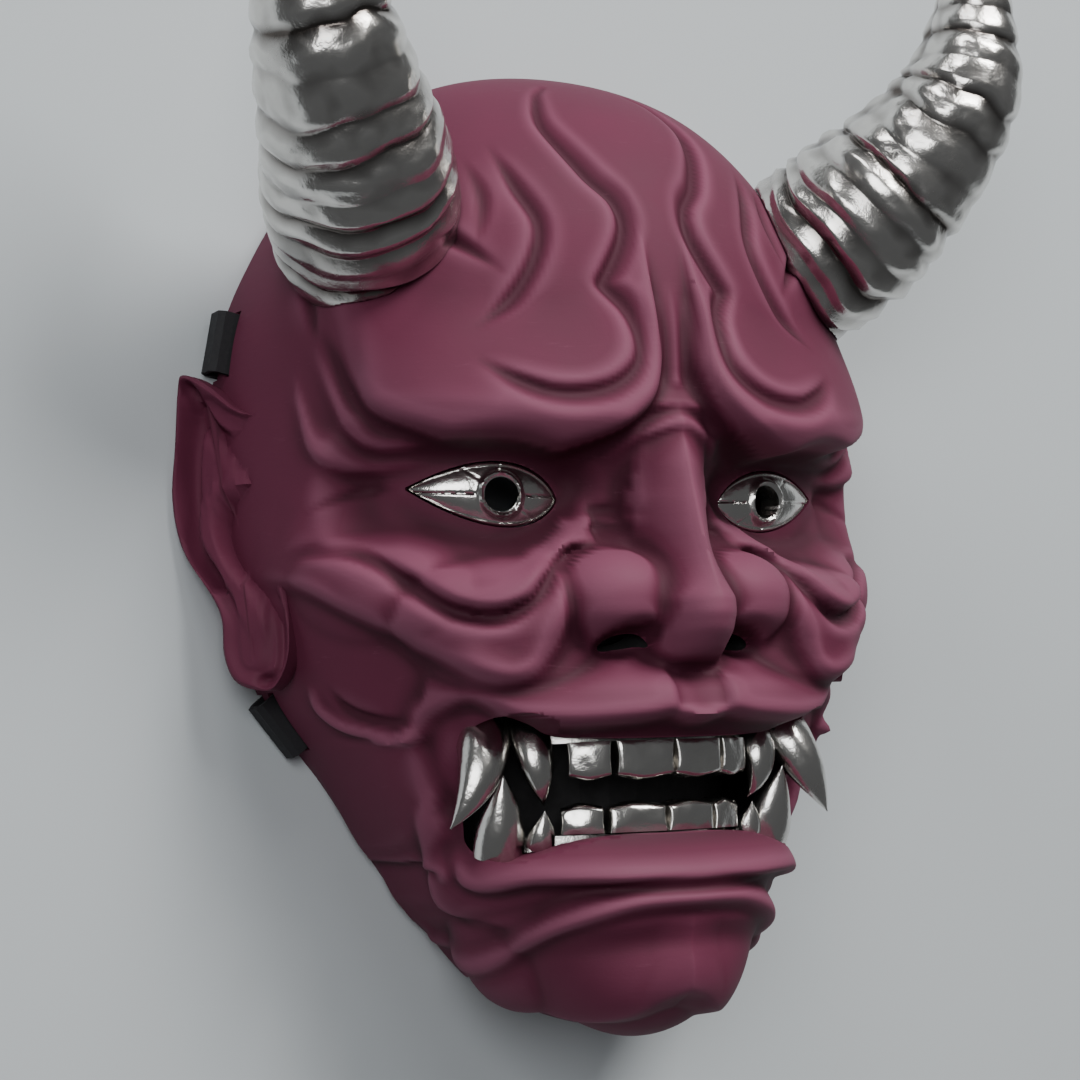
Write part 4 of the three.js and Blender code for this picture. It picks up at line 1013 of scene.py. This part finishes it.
def earRelief(flat, rimDistance):
    height = np.full(len(flat), float(earForm["base"]))
    roll, rim, sunk = earForm["roll"], earForm["rim"], earForm["frontSunk"]
    height += roll["height"] * (1 - smoothStep(0.5, roll["width"], rimDistance))
    for carve in earCarving.values():
        line = smoothLine([(a, b, 0) for a, b in carve["points"]])[:, :2]
        nearest = np.min([np.linalg.norm(offset, axis=1) for _, _, offset in stretchesTo(flat, line)], 0)
        height += carve["height"] * (1 - smoothStep(0.25 * carve["width"], carve["width"], nearest))
    front = smoothStep(*sunk["above"], flat[:, 1]) * smoothStep(*sunk["below"], flat[:, 1])
    height = height - sunk["depth"] * front * (1 - smoothStep(*sunk["within"], flat[:, 0]))
    inside = smoothStep(0, rim["width"], rimDistance)
    return np.minimum(height, 0) * inside - rim["depth"] * (1 - inside) ** 2


def earSolid(side):
    outline = np.array(earForm["outline"] + earForm["outline"][:1], float)
    loop = smoothLine(outline, earForm["steps"])[:-1]
    spine = earForm["spine"]
    middle = np.interp(loop[:, 1], spine["up"], spine["backwards"])
    spineSpots = np.stack([middle, np.clip(loop[:, 1], *spine["ends"])], 1)
    reach = np.linalg.norm(loop - spineSpots, axis=1)
    rings = []
    for share, height in earForm["behind"]:
        flat = spineSpots + (loop - spineSpots) * share
        rings.append(np.concatenate([flat, np.full((len(loop), 1), height)], 1))
    for share in np.linspace(1, earForm["least"], earForm["loops"]):
        flat = spineSpots + (loop - spineSpots) * share
        rings.append(np.concatenate([flat, earRelief(flat, (1 - share) * reach)[:, None]], 1))
    bm = loftRings(np.array(rings))
    place = earMatrix(side)
    bmesh.ops.transform(bm, matrix=mirror @ place if side == "right" else place, verts=bm.verts)
    bmesh.ops.recalc_face_normals(bm, faces=bm.faces)
    return makePiece("ear" + side, bm, shellLooks)


nostrilForm = {
    "at": (15, -31, 66), "direction": (0, -0.5, 1), "radii": (5.4, 2.3), "turn": -0.25,
    "low": -18, "high": 16, "index": 1,  # index 1 is the matt black lining, which also stands in for shade
}
floorCut = {"size": 300, "depth": 40}


def floorCutter():
    # takes off what the ears leave below the plane that the mask lies on
    bm = bmesh.new()
    size, depth = floorCut["size"], floorCut["depth"]
    matrix = Matrix.Translation((0, 0, -depth / 2)) @ Matrix.Diagonal((size, size, depth, 1))
    bmesh.ops.create_cube(bm, size=1, matrix=matrix)
    return makePiece("belowFloor", bm, shellLooks)


wearForm = {"blurPasses": 6, "wear": 1.6, "paintedShade": 1.3}  # edges stand over the blurred form and get wear, grooves under it get painted shade


def faceShell(heights):
    bm, i, j = sheetFromGrid(outerFace(heights))
    relief = bothHalves(heights - blur(heights, wearForm["blurPasses"]), 1)
    setAttribute(bm, "wear", i, j, np.clip(relief * wearForm["wear"], 0, 1))
    # the grooves and hollows under the blurred form get painted shade, a darker copy of the lacquer
    setAttribute(bm, "paintedShade", i, j, np.clip(-relief * wearForm["paintedShade"], 0, 1))
    closeSheet(bm)
    shell = makePiece("faceShell", bm, shellLooks)
    combine(shell, [earSolid("left"), earSolid("right")], "UNION")
    halves = [almondCutter(), rodCutter("nostril", **nostrilForm)]
    others = [addObject(half.name + "Other", mirrorMesh(half.data.copy())) for half in halves]
    cutters = [cavityCutter(), mouthCutter(), floorCutter()] + halves + others
    for place in strapPlaces.values():
        for flip in (False, True):
            cutters += [slotCutter(place, *slotForm[part], flip) for part in ("slot", "notch")]
    combine(shell, cutters)
    return settle(shell, math.radians(60))


heights = faceHeights()
print("face carved")
shell = faceShell(heights)
print("face shell made:", len(shell.data.polygons), "faces")
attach(shell, "root")
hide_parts("face_shell")


# Horns: centre line and radii from the head outwards, with uneven growth rings
hornForm = {
    "line": [
        (53, 59, 24), (60, 66.5, 36), (67, 73.5, 48), (72, 80, 56), (77.5, 87, 62.5), (83.5, 96.5, 69.5),
        (88, 107, 74), (90, 119, 76), (91, 131, 77.5), (91.5, 141, 78.5), (91.5, 149.5, 79),
    ],
    "radii": [17, 21.6, 22.4, 21.2, 19.2, 17, 14.8, 11.8, 8.4, 4.8, 0.8],
    "leastRadius": 0.4, "steps": 330, "sides": 96, "tipFade": 1.2, "seatGap": 0.05,
    "ringPlaces": [1.25, 1.6, 2.0, 2.5, 3.1, 3.75, 4.4, 5.05, 5.7, 6.3, 6.9, 7.5, 8.1, 8.7, 9.3],
    "ringStep": 0.2, "ringRise": 0.3,  # each ring rises gently and ends in a steep step
    "ringPower": 1.3, "grooveDepth": 0.085, "waviness": 0.16, "lumps": 0.022, "wobble": 0.02, "swell": 1.025,
    "noiseScale": (1.6, 0.9), "lumpScale": (2.6, 3.4),  # around and along
    "crease": {"angle": 2.2, "width": 0.2, "depth": 0.05, "from": 1.5, "to": 3.5},
    # where the horns get painted shade: in the growth-ring grooves and the crease, less on the lumps
    "paintedShade": {"rings": 0.95, "crease": 0.5, "lumps": 0.5},
}


def noiseGrid(spots, seed, shape):
    return np.array([noise.noise(Vector((x + seed, y, z))) for x, y, z in spots]).reshape(shape)


def hornRings(seed):
    form, creased, shadeWeights = hornForm, hornForm["crease"], hornForm["paintedShade"]
    last = len(form["line"]) - 1
    at = np.linspace(0, last, form["steps"] + 1)
    centre = splineRows(form["line"], at)
    ahead = np.gradient(centre, axis=0)
    ahead /= np.linalg.norm(ahead, axis=1)[:, None]
    side = np.cross(np.array([0, 1, 0]), ahead)
    side /= np.linalg.norm(side, axis=1)[:, None]
    up = np.cross(ahead, side)
    radius = np.maximum(splineRows([(r,) for r in form["radii"]], at)[:, 0], form["leastRadius"])
    angle = np.linspace(0, 2 * math.pi, form["sides"], endpoint=False)
    circle = np.stack([np.cos(angle), np.sin(angle)], 1)
    around, along = form["noiseScale"]
    roughAround, roughAlong = form["lumpScale"]
    spots = [(around * c, around * s, a * along) for a in at for c, s in circle]
    shape = (len(at), len(circle))
    wobble = noiseGrid(spots, seed, shape)
    rough = noiseGrid([(roughAround * x, roughAround * y, roughAlong * z) for x, y, z in spots], seed + 5, shape)
    place = at[:, None] + form["waviness"] * wobble
    deep = np.zeros(shape)
    for k, ring in enumerate(form["ringPlaces"]):
        away = place - ring
        width = np.where(away > 0, form["ringStep"], form["ringRise"])
        weight = 0.65 + 0.35 * math.sin(2.3 * k + seed)
        groove = weight * np.clip(1 - np.abs(away) / width, 0, 1) ** form["ringPower"]
        deep = np.maximum(deep, groove * (0.6 + 0.8 * np.clip(rough + 0.5, 0, 1)))
    turned = (angle[None, :] - creased["angle"] + 0.25 * wobble + math.pi) % (2 * math.pi) - math.pi
    crease = np.clip(1 - np.abs(turned) / creased["width"], 0, 1)
    crease = crease * smoothStep(creased["from"], creased["to"], at)[:, None]
    swell = form["swell"] - form["grooveDepth"] * deep - creased["depth"] * crease
    swell = swell + form["lumps"] * rough + form["wobble"] * wobble
    reach = radius[:, None] * (1 + (swell - 1) * smoothStep(last, last - form["tipFade"], at)[:, None])
    outwards = circle[None, :, :1] * side[:, None] + circle[None, :, 1:] * up[:, None]
    # painted shade, darkest in the ring grooves and the crease
    paintedShade = np.clip(shadeWeights["rings"] * deep + shadeWeights["crease"] * crease - shadeWeights["lumps"] * rough, 0, 1)
    return centre[:, None] + reach[..., None] * outwards, paintedShade


def makeHorn(name, heights, flip, seed):
    horn = makePiece(name, loftRings(*hornRings(seed)), [silver])
    seat = sheetFromGrid(outerFace(heights, faceForm["gap"] + hornForm["seatGap"]))[0]
    closeSheet(seat)
    combine(horn, [makePiece("seat", seat, [silver])])
    if flip:
        mirrorMesh(horn.data)
    return settle(horn)


for name, node, flip, seed in (("leftHorn", "left_horn", False, 3), ("rightHorn", "right_horn", True, 8)):
    horn = makeHorn(name, heights, flip, seed)
    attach(horn, "root")
    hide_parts(node)
    print(name, "made:", len(horn.data.polygons), "faces")


# Eyes: domed almonds with a thin raised rim, seams and a ring round the sight hole
eyeLook = {
    "lengthSteps": 110, "widthSteps": 56, "floorStep": 4, "rim": 0.5, "rimStart": (0.86, 0.93), "rimEnd": (1.03, 0.96),
    "seam": 0.35, "seamWidth": 0.45, "seamShade": 1.2, "ringOut": 0.75, "ringWidth": 0.55,
    "cut": (-20, 12), "cutSides": 72,
}


def eyeTop(u, v):
    form, look = eyeForm, eyeLook
    swell = form["dome"] * math.sin(math.pi * min(max(u, 0.01), 0.99)) ** 0.5 * (1 - v * v)
    rim = look["rim"] * float(smoothStep(*look["rimStart"], abs(v)) * smoothStep(*look["rimEnd"], abs(v)))
    across = u * (form["outer"][0] - form["inner"][0]) - (form["hole"][0] - form["inner"][0])
    down = v * almondHalfHeight(min(max(u, 0.001), 0.999))
    away = math.hypot(across, down)
    outward = float(smoothStep(form["ringRadius"], form["ringRadius"] + 1, away))
    lines = min(abs(down + 0.05 * across), abs(across - 0.1 * down), abs(across * 0.5 - down * 0.87) + 0.15)
    seam = look["seam"] * max(0, 1 - lines / look["seamWidth"]) * outward
    ring = form["ringRise"] * math.exp(-((away - form["holeRadius"] - look["ringOut"]) / look["ringWidth"]) ** 2)
    # the seam grooves are darkened with painted shade
    return swell + rim + ring - seam - float(eyeSunk(u)), max(0, min(1, seam * look["seamShade"]))


def makeEye(name, flip):
    us, vs = almondSteps(eyeLook["lengthSteps"], eyeLook["widthSteps"])
    floorSteps = vs[::-eyeLook["floorStep"]]
    rings, paintedShade = [], []
    for u in us:
        floorHeight = -float(eyeSunk(u)) - eyeForm["thickness"]
        tops = [eyeTop(u, v) for v in vs]
        upper = [almondSpot(u, v, top, 0) for v, (top, _) in zip(vs, tops)]
        rings.append(upper + [almondSpot(u, v, floorHeight, 0) for v in floorSteps])
        paintedShade.append([d for _, d in tops] + [0] * len(floorSteps))
    eye = makePiece(name, loftRings(np.array(rings), np.array(paintedShade)), [silver])
    along, turn = placeOnForm(*eyeForm["hole"])
    out = plainNormals(np.array([along]), np.array([turn]))[0]
    radii = (eyeForm["holeRadius"], eyeForm["holeRadius"])
    low, high = eyeLook["cut"]
    combine(eye, [rodCutter("sightHole", spotOnForm(*eyeForm["hole"]), out, radii, low, high, eyeLook["cutSides"])])
    if flip:
        mirrorMesh(eye.data)
    return settle(eye, math.radians(50))


for name, node, flip in (("leftEye", "left_eye", False), ("rightEye", "right_eye", True)):
    eye = makeEye(name, flip)
    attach(eye, "root")
    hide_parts(node)
print("eyes made")


# Teeth: two rows on arcs z = front - sweep * x * x, with tusks at the corners
rowForms = {
    "upper": {"front": 64.6, "sweep": 0.0125, "root": -53.4, "edge": -61.8, "bar": (37, -53.5, -48.5)},
    "lower": {"front": 60.3, "sweep": 0.0125, "root": -74.2, "edge": -67.6, "bar": (34, -78, -74.6)},
}
toothForm = {
    "edges": [-24.8, -14.3, 0, 14.3, 24.8], "gap": 0.2, "depth": 6.5, "barBack": 11, "barFront": 6.5,
    "levels": 22, "around": 40, "roundFrom": 0.72, "waist": 0.05, "bulge": 1.1, "dents": 0.3, "wavyEdge": 0.45,
}
tuskForms = {
    "upper": [
        {"start": (40, -46.5, 44.5), "bend": (42, -58.5, 57), "tip": (51.6, -71.7, 52.1), "radius": 6.8},
        {"start": (29.8, -49, 49), "bend": (31.8, -59, 58.5), "tip": (27.9, -67.4, 52.7), "radius": 5.1},
    ],
    "lower": [
        {"start": (36.6, -78, 45.5), "bend": (36.8, -70.5, 49), "tip": (38.3, -60.3, 53.1), "radius": 6.5},
        {"start": (28.2, -76.6, 50.5), "bend": (28.3, -73.4, 52.5), "tip": (28.4, -68.6, 54), "radius": 3.7},
    ],
}
tuskLook = {"levels": 44, "around": 36, "flat": 0.85, "dents": 0.05, "least": 0.03}


def rowFront(row, x):
    return row["front"] - row["sweep"] * x * x


def incisorSolid(row, low, high):
    form = toothForm
    middle = (low + high) / 2
    half = (high - low) / 2 - form["gap"]
    slope = math.atan(2 * row["sweep"] * middle)
    length = row["edge"] - row["root"]
    rings = []
    for t in np.linspace(0, 1, form["levels"]):
        rounded = max(1 - max(0, (t - form["roundFrom"]) / (1 - form["roundFrom"])) ** 3, 0.02) ** 0.5
        waist = 1 - form["waist"] * math.sin(math.pi * t)
        bulge = form["bulge"] * math.sin(math.pi * min(0.15 + 0.75 * t, 1)) ** 0.6
        ring = []
        for a in np.linspace(0, 2 * math.pi, form["around"], endpoint=False):
            c, s = math.cos(a), math.sin(a)
            box = (abs(c) ** 5 + abs(s) ** 3.4) ** (-1 / 4)
            across = half * waist * min(box * abs(c), 1) * (1 if c > 0 else -1) * (0.9 + 0.1 * rounded)
            level = box * s
            if level > 0:
                depth = (0.4 + bulge) * level * (0.5 + 0.5 * rounded) - 0.3 - 1.1 * (1 - rounded)
            else:
                depth = form["depth"] * level * (0.75 + 0.25 * rounded)
            depth += form["dents"] * noise.noise(Vector((middle * 0.7 + across * 0.25, t * 2.1, level)))
            edge = form["wavyEdge"] * math.cos(math.pi * across / half) * t**3 * (1 if length > 0 else -1)
            ring.append((
                middle + across * math.cos(slope) + depth * math.sin(slope),
                row["root"] + t * length + edge,
                rowFront(row, middle) - across * math.sin(slope) + depth * math.cos(slope),
            ))
        rings.append(ring)
    return makePiece("incisor", loftRings(np.array(rings)), [silver])


def tuskSolid(tusk, flip):
    start, bend, tip = (np.array(tusk[k], float) for k in ("start", "bend", "tip"))
    look = tuskLook
    rings = []
    for t in np.linspace(0, 1, look["levels"]):
        centre = (1 - t) ** 2 * start + 2 * t * (1 - t) * bend + t * t * tip
        ahead = 2 * (1 - t) * (bend - start) + 2 * t * (tip - bend)
        ahead /= np.linalg.norm(ahead)
        side = np.cross((0, 0, 1), ahead)
        side /= np.linalg.norm(side)
        up = np.cross(ahead, side)
        reach = tusk["radius"] * max(0.93 + 0.35 * t - 1.28 * t * t, look["least"])
        ring = []
        for a in np.linspace(0, 2 * math.pi, look["around"], endpoint=False):
            lumps = noise.noise(Vector((2 * math.cos(a), 2 * math.sin(a), 3 * t + tusk["radius"])))
            dent = 1 + look["dents"] * lumps - look["dents"] * max(0, math.cos(5 * a + 1.3)) * (1 - t)
            ring.append(centre + reach * dent * (math.cos(a) * side + look["flat"] * math.sin(a) * up))
        rings.append(ring)
    places = np.array(rings)
    if flip:
        places = places * mirrorRow
    return makePiece("tusk", loftRings(places), [silver])


def toothBar(name, row):
    reach, low, high = row["bar"]
    rings = []
    for x in np.linspace(-reach, reach, 33):
        front = rowFront(row, x) - toothForm["barFront"]
        back = rowFront(row, x) - toothForm["barBack"]
        rings.append([(x, low, front), (x, high, front), (x, high, back), (x, low, back)])
    return makePiece(name, loftRings(np.array(rings)), [silver])


def makeTeeth(which):
    row = rowForms[which]
    teeth = toothBar(which + "Teeth", row)
    others = [incisorSolid(row, *pair) for pair in zip(toothForm["edges"], toothForm["edges"][1:])]
    others += [tuskSolid(tusk, flip) for tusk in tuskForms[which] for flip in (False, True)]
    combine(teeth, others, "UNION")
    return settle(teeth, math.radians(55))


for which in ("upper", "lower"):
    teeth = makeTeeth(which)
    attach(teeth, "root")
    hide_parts(which + "_teeth")
    print(which, "teeth made:", len(teeth.data.polygons), "faces")


# Camera, floor and light
cameraForm = {
    "position": (-297.85, -61.57, 530.40), "forward": (0.4918, 0.0994, -0.8650), "up": (-0.0162, 0.9943, 0.1051),
    "lens": 80, "sensor": 36, "clipEnd": 20,
}


def addCamera():
    data = bpy.data.cameras.new("camera")
    data.lens = cameraForm["lens"]
    data.sensor_width = cameraForm["sensor"]
    data.clip_end = cameraForm["clipEnd"]
    camera = addObject("camera", data)
    forward = Vector(cameraForm["forward"]).normalized()
    right = forward.cross(Vector(cameraForm["up"])).normalized()
    up = right.cross(forward)
    turn = Matrix((right, up, -forward)).transposed().to_4x4()
    x, y, z = cameraForm["position"]
    camera.matrix_world = Matrix.Translation(Vector((x, y + shiftY, z)) * millimetre) @ turn
    bpy.context.scene.camera = camera


floorLook = {"colour": (0.545, 0.58, 0.60), "roughness": 0.9, "size": 6, "below": 0.0002}


def addFloor():
    bm = bmesh.new()
    bmesh.ops.create_grid(bm, x_segments=1, y_segments=1, size=floorLook["size"] / 2)
    material, tree, shader = newMaterial("paleFloor")
    shader["Base Color"].default_value = (*floorLook["colour"], 1)
    shader["Roughness"].default_value = floorLook["roughness"]
    floor = makePiece("floor", bm, [material])
    floor.location.z = -floorLook["below"]


lights = [
    # name, position, size, power, colour
    ("keyLight", (0.55, 1.15, 1.15), 0.7, 30, (1, 0.99, 0.97)),
    ("frontBox", (-0.75, 0.25, 1.25), 0.7, 9, (0.98, 0.99, 1)),
    ("topLight", (-0.5, 1.5, 0.8), 0.5, 7, (1, 1, 1)),
]
worldLook = {"colour": (0.62, 0.64, 0.66), "strength": 0.16}


def addLights():
    for name, position, size, power, colour in lights:
        data = bpy.data.lights.new(name, "AREA")
        data.size = size
        data.energy = power
        data.color = colour
        light = addObject(name, data)
        light.location = position
        light.rotation_euler = (-Vector(position)).to_track_quat("-Z", "Y").to_euler()
    world = bpy.data.worlds.new("studio")
    world.use_nodes = True
    background = world.node_tree.nodes["Background"].inputs
    background["Color"].default_value = (*worldLook["colour"], 1)
    background["Strength"].default_value = worldLook["strength"]
    bpy.context.scene.world = world


addCamera()
addFloor()
addLights()
print("camera, floor and lights added")

# the mouth backing is matt black, partly a black backing and partly painted shade behind the mouth
for name, look in (("mouth_backing", blackLiningAndShade), ("upper_strap", elastic), ("lower_strap", elastic)):
    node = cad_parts[name]
    node.data.materials.clear()
    node.data.materials.append(look)
